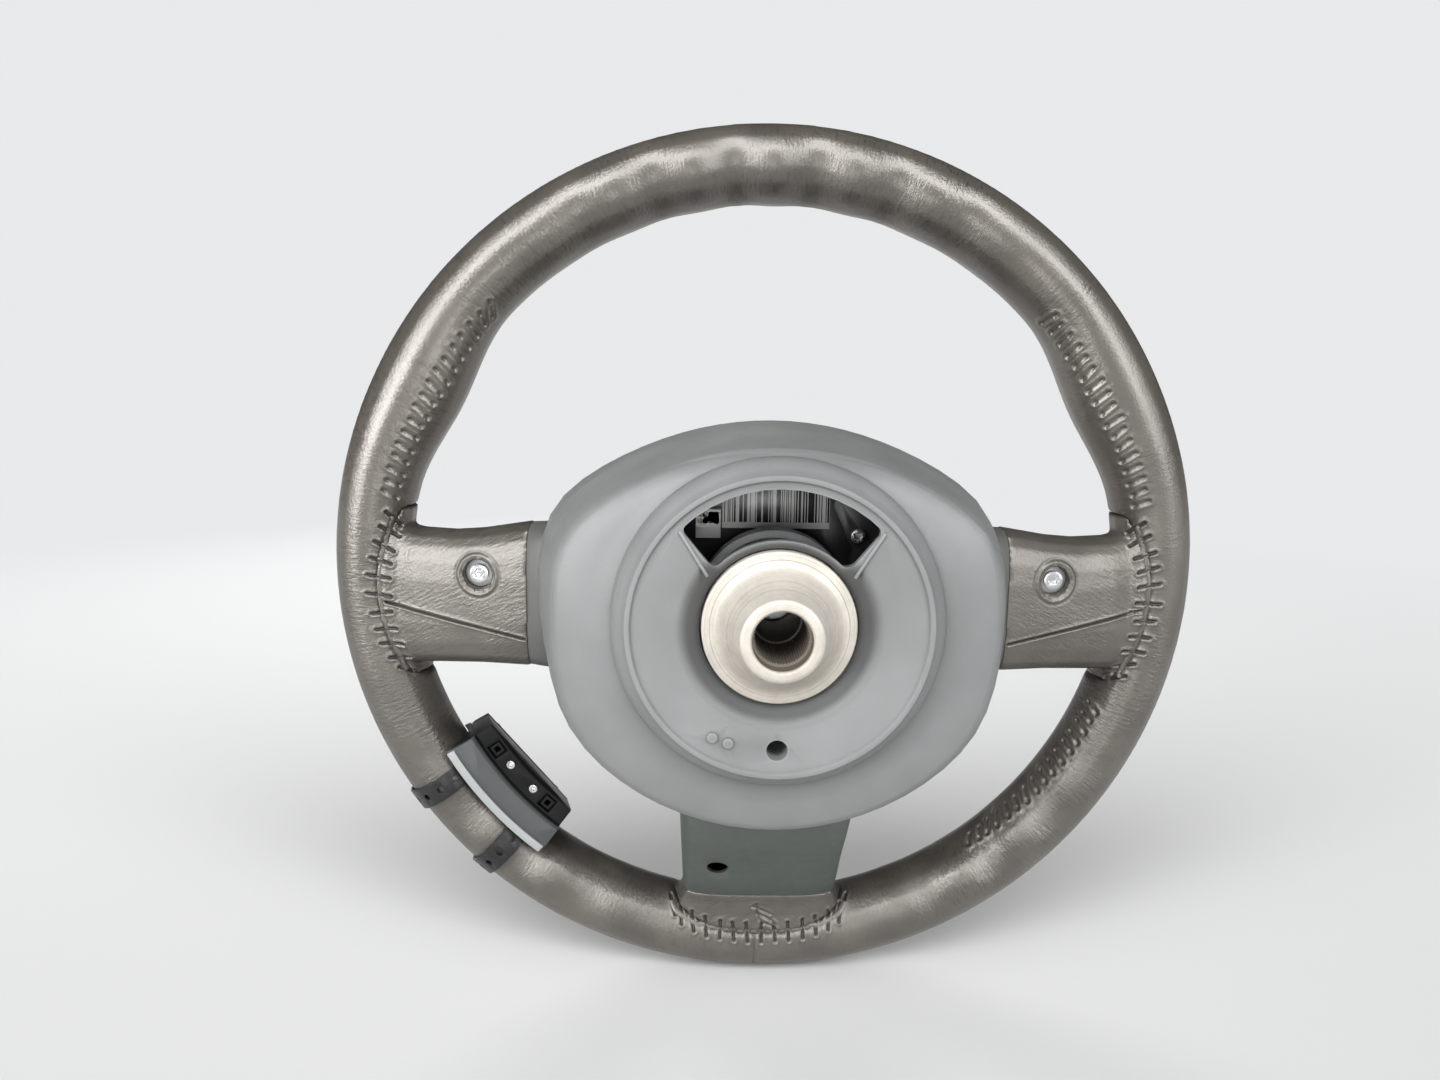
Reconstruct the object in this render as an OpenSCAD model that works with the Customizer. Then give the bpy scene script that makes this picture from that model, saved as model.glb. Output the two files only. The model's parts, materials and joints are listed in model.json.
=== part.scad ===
// Three-spoke leather car steering wheel with its airbag module and a strap-on remote control.
// The wheel stands upright in the XZ plane with 12 o'clock at +Z.
// The driver sits on the -Y side, and the steering column comes from +Y.
// The origin is on the column bore's axis, in the middle of its smooth pilot length.
// "Depth" below means the distance behind the rim's middle plane, towards the column.

/* [Rim and grip] */
// Outside diameter of the rim
rim_d = 370; // [360:1:385]
// Width of the grip, from its inner to its outer edge
grip_w = 32.6; // [31:0.2:34]
// Thickness of the grip, from driver side to column side
grip_t = 36; // [34:0.5:38]
// How much wider the grip is at the thumb rests
thumb_extra = 6; // [3:0.5:8]
// Depth of the finger scallops on the column side
scallop_depth = 2.3; // [1.4:0.1:3]
// Radius of the cast ring inside the grip
core_r = 5.5; // [4.5:0.5:6.5]

/* [Hub] */
// Depth of the hub's shoulder ring behind the rim's middle plane
dish = 104; // [102:0.5:108]
// Radius of the hub's shoulder ring
ring_r = 26.9; // [26:0.1:27.5]
// How far the hub's nose stands out of the shoulder ring
nose_h = 18; // [16:0.5:20]
// Radius of the smooth pilot bore for the steering column
pilot_r = 10.2; // [9.8:0.1:10.6]
// Length of the smooth pilot bore
pilot_len = 6; // [4:0.5:8]
// Tip radius of the spline's teeth
spline_r = 9; // [8.7:0.1:9.3]
// Number of spline teeth
spline_teeth = 60; // [48:6:72]
// Thickness of the cast hub plate and of the arms beside it
plate_t = 8; // [7:0.5:9]

/* [Rear cover] */
// Half width of the rear cover's face
face_side = 83; // [81:0.5:85]
// Height of the rear cover's face above the axis
face_top = 60; // [59:0.5:62]
// Height of the rear cover's face below the axis
face_bottom = 81; // [79:0.5:83]
// Wall thickness of the moulded covers
wall = 2.6; // [2:0.1:3]
// Radius of the round drum on the rear cover
drum_r = 58.8; // [58:0.2:59.4]
// Radius of the drum's flat disc
disc_r = 52.2; // [51:0.2:53]
// Outer radius of the window above the hub
window_r = 48.5; // [47:0.5:49.5]
// Diameter of the access hole under the hub
access_d = 7.5; // [6:0.5:9]

/* [Spokes] */
// Height of the side spokes' upper edge above the axis
spoke_top = 17; // [15:0.5:18.5]
// Height of the side spokes' lower edge below the axis
spoke_bottom = 40; // [38:0.5:41]
// Half width of the lower spoke
lower_half = 34; // [33:0.5:36]
// Distance of the side screws from the wheel's middle
screw_x = 119; // [116:0.5:122]
// Height of the side screws above the axis
screw_z = 1.5; // [0:0.5:3]
// Diameter of the release hole in the lower spoke
release_d = 9; // [8:0.5:10]

/* [Airbag module] */
// How far the airbag module moves when the horn is pressed
horn_travel = 2.5; // [1.5:0.5:3]
// Radius of the module's three guide pins
pin_r = 3; // [2.6:0.2:3.4]
// Distance of the guide pins from the wheel's middle
pin_at = 46; // [45:0.5:47]
// Wire radius of the horn springs
spring_wire = 0.6; // [0.5:0.1:0.8]

/* [Remote control] */
// Direction of the remote's middle, turned down from 3 o'clock as seen by the driver
remote_at = 41; // [38:0.5:44]
// Length of the remote along the grip, in degrees about the wheel's axis
remote_span = 22; // [21:0.5:23]
// Angle between the two straps
strap_gap = 13; // [12:0.5:14]
// Width of a strap
strap_w = 9.5; // [8.5:0.5:10]
// Thickness of a strap
strap_t = 1.1; // [0.9:0.1:1.5]
// Radius of a remote key
key_r = 3.1; // [2.8:0.1:3.2]
// How far a remote key travels
key_travel = 0.8; // [0.5:0.1:1]

/* [Hidden] */

$fn = 64;
eps = 0.01;
// Clearance between a sewn or moulded skin and what lies under it
skin_gap = 0.3;
// Radial running clearance of a pin in its hole
run_gap = 0.05;
// Clearance round a key or a snapped-in piece
snap_gap = 0.15;

rim_r = rim_d / 2;
core_at = rim_r - grip_w / 2;
bore_depth = dish + nose_h - 0.7 - pilot_len / 2;

// Side spokes: where the leather meets the grip, and where it ends at the cover
seam_x = rim_r - grip_w + 10.4;
seam_bow = 7.8;
seam_depth = grip_t / 2 * sqrt(1 - pow((core_at - seam_x) / (grip_w / 2), 2));
collar_in = face_side + 2.5;
collar_edge = face_side + 8;
collar_out = face_side + 15;
spoke_back = 34.5;
cover_edge = 38;
leather_z = [-spoke_bottom - 5.5, spoke_top + 9];
leather_mid = spoke_top - 24;
lower_end = along(0.628);
lower_flare = lower_half + 5;
arm_z = [-20, 8];
arm_mid = (arm_z[0] + arm_z[1]) / 2;
lower_arm_half = 13;

// Depths of the layers inside the cover
plate_front = 61;
plate_back = plate_front + plate_t;
can_flange = 33;
can_back = 51.5;
sheet = 1.5;
face_depth = dish - 14;
disc_depth = dish + 2.4;
drum_depth = dish - 4.8;

// A place between the leather's end at the cover, at 0, and the cast ring, at 1
function along(share) = collar_out + (core_at - collar_out) * share;
function clamp(v, low, high) = max(low, min(high, v));
function smooth(t) = let (k = clamp(t, 0, 1)) k * k * (3 - 2 * k);
function wrap(a) = (a % 360 + 540) % 360 - 180;
function hill(a, middle, reach) = 1 - smooth(abs(wrap(a - middle)) / reach);
function flat(rows) = [for (row = rows) each row];
function rounded(c, n) = sign(c) * pow(abs(c), 2 / n);

// Moves a piece from rim depths to the part's own frame
module framed() {
    translate([0, -bore_depth, 0]) children();
}

// Revolves an outline of [radius, depth] about the wheel's axis
module turned(angle = 360, start = 0) {
    rotate([-90, 0, 0]) rotate([0, 0, start]) rotate_extrude(angle = angle) children();
}

// Extrudes an outline of [x, z] from one depth to another
module slab(d0, d1) {
    translate([0, d1, 0]) rotate([90, 0, 0]) linear_extrude(d1 - d0) children();
}

// Extrudes a profile of [x, depth] from one height to another
module between_z(z0, z1) {
    translate([0, 0, z0]) linear_extrude(z1 - z0) children();
}

// A round bar along the wheel's axis
module bar(r, d0, d1, x = 0, z = 0) {
    translate([x, d1, z]) rotate([90, 0, 0]) cylinder(r = r, h = d1 - d0);
}

// A skin over a row of sections, either closed into a ring or capped at both ends
module skin(rows, ring = false) {
    n = len(rows);
    m = len(rows[0]);
    last = ring ? n - 1 : n - 2;
    sides = [for (i = [0:last], j = [0:m - 1])
        let (a = i * m + j, b = ((i + 1) % n) * m + j,
            c = ((i + 1) % n) * m + (j + 1) % m, d = i * m + (j + 1) % m)
        each [[a, b, c], [a, c, d]]];
    caps = ring ? [] : [[for (j = [0:m - 1]) j], [for (j = [m - 1:-1:0]) (n - 1) * m + j]];
    polyhedron(points = flat(rows), faces = concat(sides, caps), convexity = 6);
}

// Grip: an oval section swept round the rim, with thumb rests and finger scallops
grip_stations = 160;
grip_sides = 16;
scallop_count = 32;

function grip_half(a) = grip_w / 2 + thumb_extra / 2 * (hill(a, 28, 17) + hill(a, 152, 17));
function scallop_zone(a) = max(hill(a, 90, 52), 0.8 * hill(a, -52, 30), 0.8 * hill(a, -128, 30));
function scallop(a, s) = scallop_depth * scallop_zone(a)
    * (0.5 - 0.5 * cos(scallop_count * (a - 90))) * pow(max(0, cos(s - 135)), 2);
function grip_point(a, s) =
    let (half = grip_half(a), dip = scallop(a, s), r = rim_r - half + (half - dip) * cos(s))
    [r * cos(a), (grip_t / 2 - dip) * sin(s), r * sin(a)];
function grip_section(a) = [for (j = [0:grip_sides - 1]) grip_point(a, 360 * (j + 0.5) / grip_sides)];

// The whole grip, or the arc of it between two stations
module grip_form(first = 0, count = grip_stations) {
    whole = count == grip_stations;
    skin([for (i = [0:whole ? count - 1 : count]) grip_section(360 * (first + i) / grip_stations)],
        ring = whole);
}

// The channel in the foam round the cast ring
module core_channel() {
    turned() translate([core_at, 0]) circle(core_r + 0.1);
}

// Zones of the rim that the spokes' leather takes over from the grip, grown by g
seam_gap = 0.35;

// The side zone ends in a seam that bows outwards in the middle
function seam_at(z) = seam_x - seam_bow * pow((z - leather_mid) / 31, 2);
module side_zone(g = 0) {
    slab(-grip_t, 2 * grip_t) offset(delta = g) polygon(concat([[60, leather_z[1]], [60, leather_z[0]]],
        [for (k = [0:8]) let (z = leather_z[0] + (leather_z[1] - leather_z[0]) * k / 8) [seam_at(z), z]]));
}

// The lower zone ends in a wide U on the rim
module lower_zone(g = 0) {
    half = [[lower_flare, 60], [lower_flare, seam_x - 17], [lower_flare - 1.5, seam_x - 13.5],
        [lower_flare - 6, seam_x - 9.5], [lower_flare - 12, seam_x - 5.5], [lower_flare - 19.5, seam_x - 2],
        [lower_flare - 29, seam_x - 0.5]];
    slab(-grip_t, grip_t) offset(delta = g) polygon(concat([for (p = half) [p[0], -p[1]]],
        [[0, -seam_x]], [for (i = [len(half) - 1:-1:0]) [-half[i][0], -half[i][1]]]));
}

module rim_grip() color([0.24, 0.22, 0.2]) framed() difference() {
    grip_form();
    core_channel();
    side_zone(seam_gap);
    mirror([1, 0, 0]) side_zone(seam_gap);
    lower_zone(seam_gap);
    side_arm(skin_gap);
    mirror([1, 0, 0]) side_arm(skin_gap);
    lower_arm(skin_gap);
}

// Armature: a cast hub plate, three arms that rise to the rim plane, and the ring in the grip
arm_bend = face_side - 13;
function arm_line(g) = [[18, plate_front - g], [arm_bend, plate_front - g], [arm_bend + 7, 54 - g],
    [face_side + 1.5, cover_edge + 0.5 - g], [face_side + 9, 25 - g], [along(0.17), 12 - g],
    [along(0.45), 4 - g], [along(0.75), -2 - g], [core_at, -4 - g],
    [core_at, 4.5 + g], [along(0.75), 7 + g], [along(0.45), 14 + g], [along(0.2), 21 + g],
    [along(0.06), 28 + g], [face_side + 10, 34.5 + g], [face_side + 5.6 + g, cover_edge + 0.4],
    [face_side + 3.8, 46 + g], [face_side + 2, 55 + g], [arm_bend + 5, plate_back + g],
    [18, plate_back + g]];

module side_arm(g = 0) {
    between_z(arm_z[0] - g, arm_z[1] + g) polygon(arm_line(g));
}

module lower_arm(g = 0) {
    rotate([0, 90, 0]) between_z(-lower_arm_half - g, lower_arm_half + g) polygon(arm_line(g));
}

module armature() color([0.5, 0.5, 0.5]) framed() difference() {
    union() {
        turned() translate([core_at, 0]) circle(core_r);
        bar(plate_r, plate_front, plate_back);
        side_arm();
        mirror([1, 0, 0]) side_arm();
        lower_arm();
        at_trim_screws() bar(seat_r, 12, seat_depth);
    }
    bar(boss_body_r, plate_front - 20, plate_back + 20);
    at_pins() bar(pin_r + run_gap, plate_front - 1, plate_back + 1);
    at_trim_screws() bar(2.1, -30, 40);
    at_cover_screws() bar(2.1, plate_front - 1, plate_back + 1);
    at_posts() bar(1.6, plate_front - 1, plate_front + 4);
}

// Places that come three times: left, right and lower
lower_screw_z = along(0.226);
seat_r = 5.8;
seat_depth = 22.5;
tower_at = 62;
tower_low = 43;
post_at = 36;

module at_trim_screws() {
    for (side = [-1, 1]) translate([side * screw_x, 0, screw_z]) children();
    translate([0, 0, -lower_screw_z]) children();
}

module at_pins() {
    for (side = [-1, 1]) translate([side * pin_at, 0, arm_mid]) children();
    translate([0, 0, -pin_at - 12]) children();
}

module at_cover_screws() {
    for (side = [-1, 1]) translate([side * tower_at, 0, arm_mid + 7]) children();
    translate([0, 0, -tower_low]) children();
}

module at_posts() {
    for (side = [-1, 1]) translate([side * post_at, 0, arm_mid - 6]) children();
    translate([0, 0, -post_at]) children();
}

// Hub boss: a turned nose with a shoulder ring, and a splined bore behind a smooth pilot
boss_body_r = 20;
plate_r = 28.5;
nose_r = 13.2;
nose_tip = dish + nose_h;
spline_depth = 0.5;

module spline_outline() {
    step = 360 / spline_teeth;
    polygon([for (i = [0:spline_teeth - 1])
        each [for (k = [[0.04, 1], [0.34, 0], [0.66, 0], [0.96, 1]])
            let (a = (i + k[0]) * step, r = spline_r + k[1] * spline_depth) [r * cos(a), r * sin(a)]]]);
}

module hub_boss() color([0.86, 0.84, 0.8]) framed() difference() {
    turned() polygon([[0, plate_front - 1], [boss_body_r - 1, plate_front - 1],
        [boss_body_r, plate_front], [boss_body_r, plate_back], [ring_r - 1.2, plate_back],
        [ring_r - 1.2, dish - 8], [ring_r, dish - 7.2], [ring_r, dish - 0.4],
        [ring_r - 0.5, dish], [ring_r - 2.6, dish + 0.1], [ring_r - 2.9, dish + 0.8],
        for (k = [0:6]) let (t = k / 6)
            [ring_r - 3.4 - (ring_r - 3.4 - nose_r - 1.6) * t, dish + 0.8 + (nose_h - 3.4) * pow(t, 1.6)],
        for (k = [0:5]) let (a = k * 18) [nose_r - 0.6 + 2 * cos(a), nose_tip - 2 + 2 * sin(a)],
        [0, nose_tip]]);
    bar(spline_r - 0.6, plate_front - 2, nose_tip + 1);
    slab(dish - 14, nose_tip) spline_outline();
    bar(pilot_r, nose_tip - 0.7 - pilot_len, nose_tip + 1);
    turned() polygon([[0, nose_tip - 0.7], [pilot_r, nose_tip - 0.7],
        [pilot_r + 0.8, nose_tip + 0.1], [0, nose_tip + 0.1]]);
}

// Rear cover: a drafted shell with an egg-shaped face, a drum with a disc, a window and holes
cover_stations = 60;

// The face's outline in polar form: a wide arc above, a rounder one below, and straight sides
function face_reach(a) =
    let (top_r = 2 * face_top, low_r = face_bottom + 13,
        up = -face_top * sin(a) + sqrt(pow(top_r, 2) - pow(face_top * cos(a), 2)),
        down = 13 * sin(a) + sqrt(pow(low_r, 2) - pow(13 * cos(a), 2)),
        side = face_side / max(abs(cos(a)), 0.01))
    pow(pow(up, -14) + pow(down, -14) + pow(side, -14), -1 / 14);
function base_flare(a) = 7 + 4 * pow(abs(cos(a)), 8);
function cover_at(a, share, depth) = [face_reach(a) + base_flare(a) * share, depth];
function cover_in(a, share, depth) =
    let (hub = drum_r - wall) [hub + (face_reach(a) - hub) * share, depth];

// Outer line from the open edge, over the face to the drum, and the inner line back
function cover_profile(a) = concat(
    [cover_at(a, 1, cover_edge), cover_at(a, 0.7, cover_edge + 18), cover_at(a, 0.35, cover_edge + 36),
        cover_at(a, 0.12, face_depth - 6), cover_in(a, 0.985, face_depth - 1.6)],
    [cover_in(a, 0.93, face_depth + 1.2), cover_in(a, 0.82, face_depth + 3), cover_in(a, 0.45, face_depth + 5.6),
        cover_in(a, 0, face_depth + 7.6)],
    [cover_in(a, 0, face_depth + 7.6 - wall), cover_in(a, 0.45, face_depth + 5.6 - wall),
        cover_in(a, 0.8, face_depth + 2.6 - wall), cover_in(a, 0.86, face_depth - 3)],
    [cover_at(a, 0.12, face_depth - 6) - [wall, 0], cover_at(a, 0.35, cover_edge + 36) - [wall, 0],
        cover_at(a, 0.7, cover_edge + 18) - [wall, 0], cover_at(a, 1, cover_edge) - [wall, 0]]);

module cover_shell() {
    skin([for (i = [0:cover_stations - 1]) let (a = 360 * i / cover_stations)
        [for (p = cover_profile(a)) [p[0] * cos(a), p[1], p[0] * sin(a)]]], ring = true);
}

recess_r = 35.5;

// Drum with its lip, disc and soft recess round the boss, as one turned outline
module drum() {
    turned() polygon([[drum_r - wall - 0.6, drum_depth - 4.2], [drum_r, drum_depth - 2.4],
        [drum_r - 0.4, drum_depth + 0.6], [drum_r - 1.6, drum_depth + 3], [disc_r + 1.6, disc_depth - 0.6],
        [disc_r + 0.9, disc_depth + 1], [disc_r - 0.7, disc_depth + 1], [disc_r - 1.3, disc_depth],
        [recess_r, disc_depth], [recess_r - 2, disc_depth - 0.8], [recess_r - 5, disc_depth - 4.2],
        [ring_r + 0.8, disc_depth - 5.4], [ring_r + 0.8, disc_depth - 5.4 - wall],
        [recess_r - 4, disc_depth - 4.4 - wall], [recess_r - 1, disc_depth - wall - 0.8],
        [disc_r - wall, disc_depth - wall - 0.4], [drum_r - wall - 0.6, drum_depth]]);
}

// Window above the hub: arcs about the axis, sides that lean in, and rounded corners
window_half = 44.8;
window_low_r = 30.4;
window_lean = 48;

module window_outline() {
    offset(r = 2.5) offset(delta = -2.5) polygon(concat(
        [for (k = [-6:6]) let (a = 90 + window_half * k / 6) window_r * [cos(a), sin(a)]],
        [for (k = [6:-1:-6]) let (a = 90 + window_lean * k / 6) window_low_r * [cos(a), sin(a)]]));
}

// Low rib that runs beside the window, from its outer corner down to the recess
module window_rib() {
    slab(disc_depth - 0.5, disc_depth + 0.6) hull() {
        translate((window_r - 0.4) * [sin(window_half + 0.8), cos(window_half + 0.8)]) circle(0.5, $fn = 16);
        translate((recess_r - 4) * [sin(window_lean + 5), cos(window_lean + 5)]) circle(0.5, $fn = 16);
    }
}

module tower(x, z, back) {
    bar(5, plate_back + skin_gap, back, x, z);
}

module rear_cover() color([0.5, 0.52, 0.53]) framed() difference() {
    union() {
        cover_shell();
        drum();
        tower(0, -tower_low, disc_depth - 1);
        for (p = [[17.1, -40.2], [22.6, -38.2]]) bar(1.8, disc_depth - 1, disc_depth + 1, p[0], p[1]);
        window_rib();
        mirror([1, 0, 0]) window_rib();
        for (side = [-1, 1]) tower(side * tower_at, arm_mid + 7, face_depth + 5.8 - wall / 2);
    }
    slab(drum_depth - 3, disc_depth + 3) window_outline();
    bar(access_d / 2, plate_back + 6, disc_depth + 1, 0, -tower_low);
    at_cover_screws() bar(2.1, plate_back - 1, plate_back + 18);
    translate([-lower_half - 0.6, cover_edge - 1, -120])
        cube([2 * lower_half + 1.2, lower_notch + 0.6 - cover_edge + 1, 60]);
}

// Side spoke: sections along x between the collar and the seam, as an oval with square shoulders
spoke_start = face_side - 9;
spoke_xs = [spoke_start, collar_in, collar_edge, collar_edge + 3, collar_out, along(0.15), along(0.3),
    along(0.48), along(0.69), along(0.8), seam_x];
function side_back(x) = lookup(x, [[collar_edge, cover_edge - 0.4], [collar_edge + 3, spoke_back + 2],
    [collar_out, spoke_back], [along(0.3), 28.8], [along(0.69), 21], [along(0.8), 17.8], [seam_x, seam_depth]]);
function side_front(x) = lookup(x, [[spoke_start, 4], [collar_out, 1], [along(0.3), -4.5],
    [along(0.69), -11.5], [along(0.8), -13.6], [seam_x, -seam_depth]]);
function side_top(x) = lookup(x, [[spoke_start, spoke_top + 7.4], [collar_out, spoke_top + 5.5],
    [along(0.3), spoke_top + 1.4], [along(0.48), spoke_top], [along(0.69), spoke_top + 0.2],
    [along(0.8), spoke_top + 1.6], [seam_x, spoke_top + 5]]);
function side_low(x) = -lookup(x, [[spoke_start, spoke_bottom - 0.4], [collar_out, spoke_bottom - 1.8],
    [along(0.3), spoke_bottom - 1.2], [along(0.69), spoke_bottom + 0.8], [along(0.8), spoke_bottom + 2],
    [seam_x, spoke_bottom + 4]]);
spoke_sides = 20;

function spoke_section(x, inset) =
    let (hd = (side_back(x) - side_front(x)) / 2 - inset, dc = (side_back(x) + side_front(x)) / 2,
        hz = (side_top(x) - side_low(x)) / 2 - inset, zc = (side_top(x) + side_low(x)) / 2)
    [for (j = [0:spoke_sides - 1]) let (s = 360 * (j + 0.5) / spoke_sides)
        [x, dc + hd * rounded(cos(s), 3.2), zc + hz * rounded(sin(s), 3.2)]];

module side_spoke(x0, x1, inset = 0) {
    skin([for (x = spoke_xs) if (x >= x0 - eps && x <= x1 + eps) spoke_section(x, inset)]);
}

// Everything in front of the parting face between the leather on the back and the trim on the front
trim_end = seam_x - 10;
module side_parting() {
    between_z(-80, 80) polygon([[spoke_start - 5, 10], [collar_out, 7], [trim_end, -8.5],
        [trim_end, -60], [spoke_start - 5, -60]]);
}

// Room that the trims leave round the airbag cover
module pad_room() {
    slab(-20, cover_edge - 0.5) polygon([for (i = [0:pad_stations - 1])
        let (a = 360 * i / pad_stations) (pad_r(a) + 1.8) * [cos(a), sin(a)]]);
}

module side_leather() difference() {
    intersection() {
        union() {
            side_spoke(collar_out, seam_x);
            grip_form(grip_stations - 9, 14);
        }
        side_zone();
    }
    intersection() {
        side_spoke(spoke_start, seam_x, -skin_gap);
        side_parting();
    }
    core_channel();
    side_arm(skin_gap);
    bar(seat_r + skin_gap, 12, 60, screw_x, screw_z);
    bar(trim_boss + skin_gap, -30, 14, screw_x, screw_z);
}

module right_spoke_leather() color([0.27, 0.25, 0.23]) framed() side_leather();
module left_spoke_leather() color([0.27, 0.25, 0.23]) framed() mirror([1, 0, 0]) side_leather();

module side_collar() difference() {
    side_spoke(collar_in, collar_out, 0.5);
    side_parting();
    skin([for (x = spoke_xs) if (x > spoke_start && x < collar_out + eps)
        [for (p = spoke_section(x, 0.5 + wall)) p + [x == collar_in ? -1 : x == collar_out ? 1 : 0, 0, 0]]]);
    pad_room();
    side_arm(skin_gap);
}

module right_spoke_collar() color([0.4, 0.41, 0.42]) framed() side_collar();
module left_spoke_collar() color([0.4, 0.41, 0.42]) framed() mirror([1, 0, 0]) side_collar();

trim_boss = 4;

module side_trim() difference() {
    union() {
        intersection() {
            side_spoke(spoke_start, seam_x);
            translate([0, -skin_gap, 0]) side_parting();
        }
        bar(trim_boss, 0, 13, screw_x, screw_z);
    }
    pad_room();
    side_arm(skin_gap);
    bar(1.7, -2, 60, screw_x, screw_z);
}

module right_spoke_trim() color([0.66, 0.67, 0.68]) framed() side_trim();
module left_spoke_trim() color([0.66, 0.67, 0.68]) framed() mirror([1, 0, 0]) side_trim();

// Lower spoke: sections down the spoke, a hollow plastic back and leather where it meets the rim
lower_notch = 76;
lower_start = face_bottom + 2;
function foot(share) = lower_end + (seam_x - lower_end) * share;
lower_zs = [lower_start - 12, lower_start, along(0.03), along(0.17), along(0.31), along(0.46),
    lower_end, foot(0.25), foot(0.54), seam_x];
function low_back(z) = lookup(z, [[lower_start, lower_notch], [along(0.03), 61], [along(0.31), 41],
    [lower_end, 21.4], [foot(0.25), 18.8], [foot(0.54), 17.4], [seam_x, seam_depth]]);
function low_front(z) = lookup(z, [[lower_start, 13], [along(0.03), 8], [along(0.31), 0],
    [lower_end, -8], [seam_x, -seam_depth]]);
function low_half(z) = lookup(z, [[lower_start, lower_half + 1], [lower_end, lower_half],
    [foot(0.25), lower_half + 1.6], [foot(0.54), lower_half + 3.5], [seam_x, lower_flare - 0.5]]);

function lower_section(z, inset) =
    let (hd = (low_back(z) - low_front(z)) / 2 - inset, dc = (low_back(z) + low_front(z)) / 2,
        hx = low_half(z) - inset)
    [for (j = [0:spoke_sides - 1]) let (s = 360 * (j + 0.5) / spoke_sides)
        [hx * rounded(sin(s), 4), dc + hd * rounded(cos(s), 4), -z]];

module lower_spoke(z0, z1, inset = 0) {
    skin([for (z = lower_zs) if (z >= z0 - eps && z <= z1 + eps) lower_section(z, inset)]);
}

module lower_parting(g = 0) {
    rotate([0, 90, 0]) between_z(-80, 80) polygon([[face_bottom - 10, 19 - g], [collar_out, 16 - g],
        [lower_end, -1 - g], [lower_end + 2, -1 - g], [lower_end + 2, -60], [face_bottom - 10, -60]]);
}

module lower_spoke_leather() color([0.27, 0.25, 0.23]) framed() difference() {
    intersection() {
        union() {
            lower_spoke(lower_end, seam_x);
            grip_form(grip_stations * 3 / 4 - 10, 20);
        }
        lower_zone();
    }
    core_channel();
    lower_arm(skin_gap);
}

// Plastic back of the lower spoke: a hollow shell that clips round the arm with two hooks
module lower_spoke_cover() color([0.42, 0.45, 0.43]) framed() difference() {
    union() {
        difference() {
            lower_spoke(lower_start, lower_end);
            lower_hollow();
        }
        intersection() {
            lower_spoke(lower_start, lower_end, wall / 2);
            for (side = [-1, 1]) translate([side * (lower_arm_half + 0.6) - 1.6, 0, -along(0.12)])
                cube([3.2, 80, 7]);
        }
    }
    lower_parting();
    lower_arm(skin_gap);
    bar(release_d / 2, low_back(along(0.31)) - 12, low_back(along(0.31)) + 12, 19, -along(0.31));
}

// Inside of the shell, open towards the driver and towards the hub
module lower_hollow() {
    skin([for (z = lower_zs) if (z >= lower_start && z <= lower_end + eps)
        let (middle = (low_back(z) + low_front(z)) / 2)
        [for (p = lower_section(z, wall)) [p[0], p[1] < middle ? low_front(z) - 10 : p[1],
            p[2] + (z == lower_start ? 2 : z == lower_end ? wall : 0)]]]);
}

module lower_spoke_trim() color([0.66, 0.67, 0.68]) framed() difference() {
    union() {
        intersection() {
            lower_spoke(lower_zs[0], lower_end);
            lower_parting(skin_gap);
        }
        bar(trim_boss, 8, 15, 0, -lower_screw_z);
    }
    pad_room();
    lower_arm(skin_gap);
    bar(1.7, 4.5, 60, 0, -lower_screw_z);
}

// Screws: a round head with a six-lobed socket over a plain shank
module socket_screw(head_r, head_h, shank_r, shank_h) {
    difference() {
        union() {
            bar(head_r, 0, head_h);
            bar(shank_r, -shank_h, 0);
        }
        slab(head_h - 1.6, head_h + 1) union() {
            circle(r = head_r * 0.44);
            for (k = [0:5]) rotate(k * 60) translate([head_r * 0.44, 0]) circle(r = head_r * 0.13, $fn = 16);
        }
    }
}

module trim_screw(x, z, length) color("silver") framed()
    translate([x, seat_depth, z]) socket_screw(3.8, 2.6, 1.7, length);
module left_trim_screw() trim_screw(-screw_x, screw_z, seat_depth + 1.5);
module right_trim_screw() trim_screw(screw_x, screw_z, seat_depth + 1.5);
module lower_trim_screw() trim_screw(0, -lower_screw_z, seat_depth - 5);

module cover_screw(x, z) color("silver") framed()
    translate([x, plate_front, z]) rotate([180, 0, 0]) socket_screw(3.6, 2, 2, plate_t + 12);
module left_cover_screw() cover_screw(-tower_at, arm_mid + 7);
module right_cover_screw() cover_screw(tower_at, arm_mid + 7);
module lower_cover_screw() cover_screw(0, -tower_low);

// Horn: fixed posts on the arms, contacts on the module, guide pins and their springs
contact_t = 0.8;
post_tip = can_back + contact_t + horn_travel + 0.2;

module horn_post(x, z) color("goldenrod") framed() {
    bar(2.6, post_tip, plate_front, x, z);
    bar(1.6, plate_front, plate_front + 4, x, z);
}
module left_horn_post() horn_post(-post_at, arm_mid - 6);
module right_horn_post() horn_post(post_at, arm_mid - 6);
module lower_horn_post() horn_post(0, -post_at);

module horn_contact(x, z) color("goldenrod") framed() bar(4, can_back, can_back + contact_t, x, z);
module left_horn_contact() horn_contact(-post_at, arm_mid - 6);
module right_horn_contact() horn_contact(post_at, arm_mid - 6);
module lower_horn_contact() horn_contact(0, -post_at);

module guide_pin(x, z) color("gainsboro") framed() {
    bar(pin_r, can_back, plate_back + skin_gap + 3, x, z);
    bar(pin_r + 1.6, plate_back + skin_gap, plate_back + skin_gap + 3, x, z);
}
module left_guide_pin() guide_pin(-pin_at, arm_mid);
module right_guide_pin() guide_pin(pin_at, arm_mid);
module lower_guide_pin() guide_pin(0, -pin_at - 12);

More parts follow.
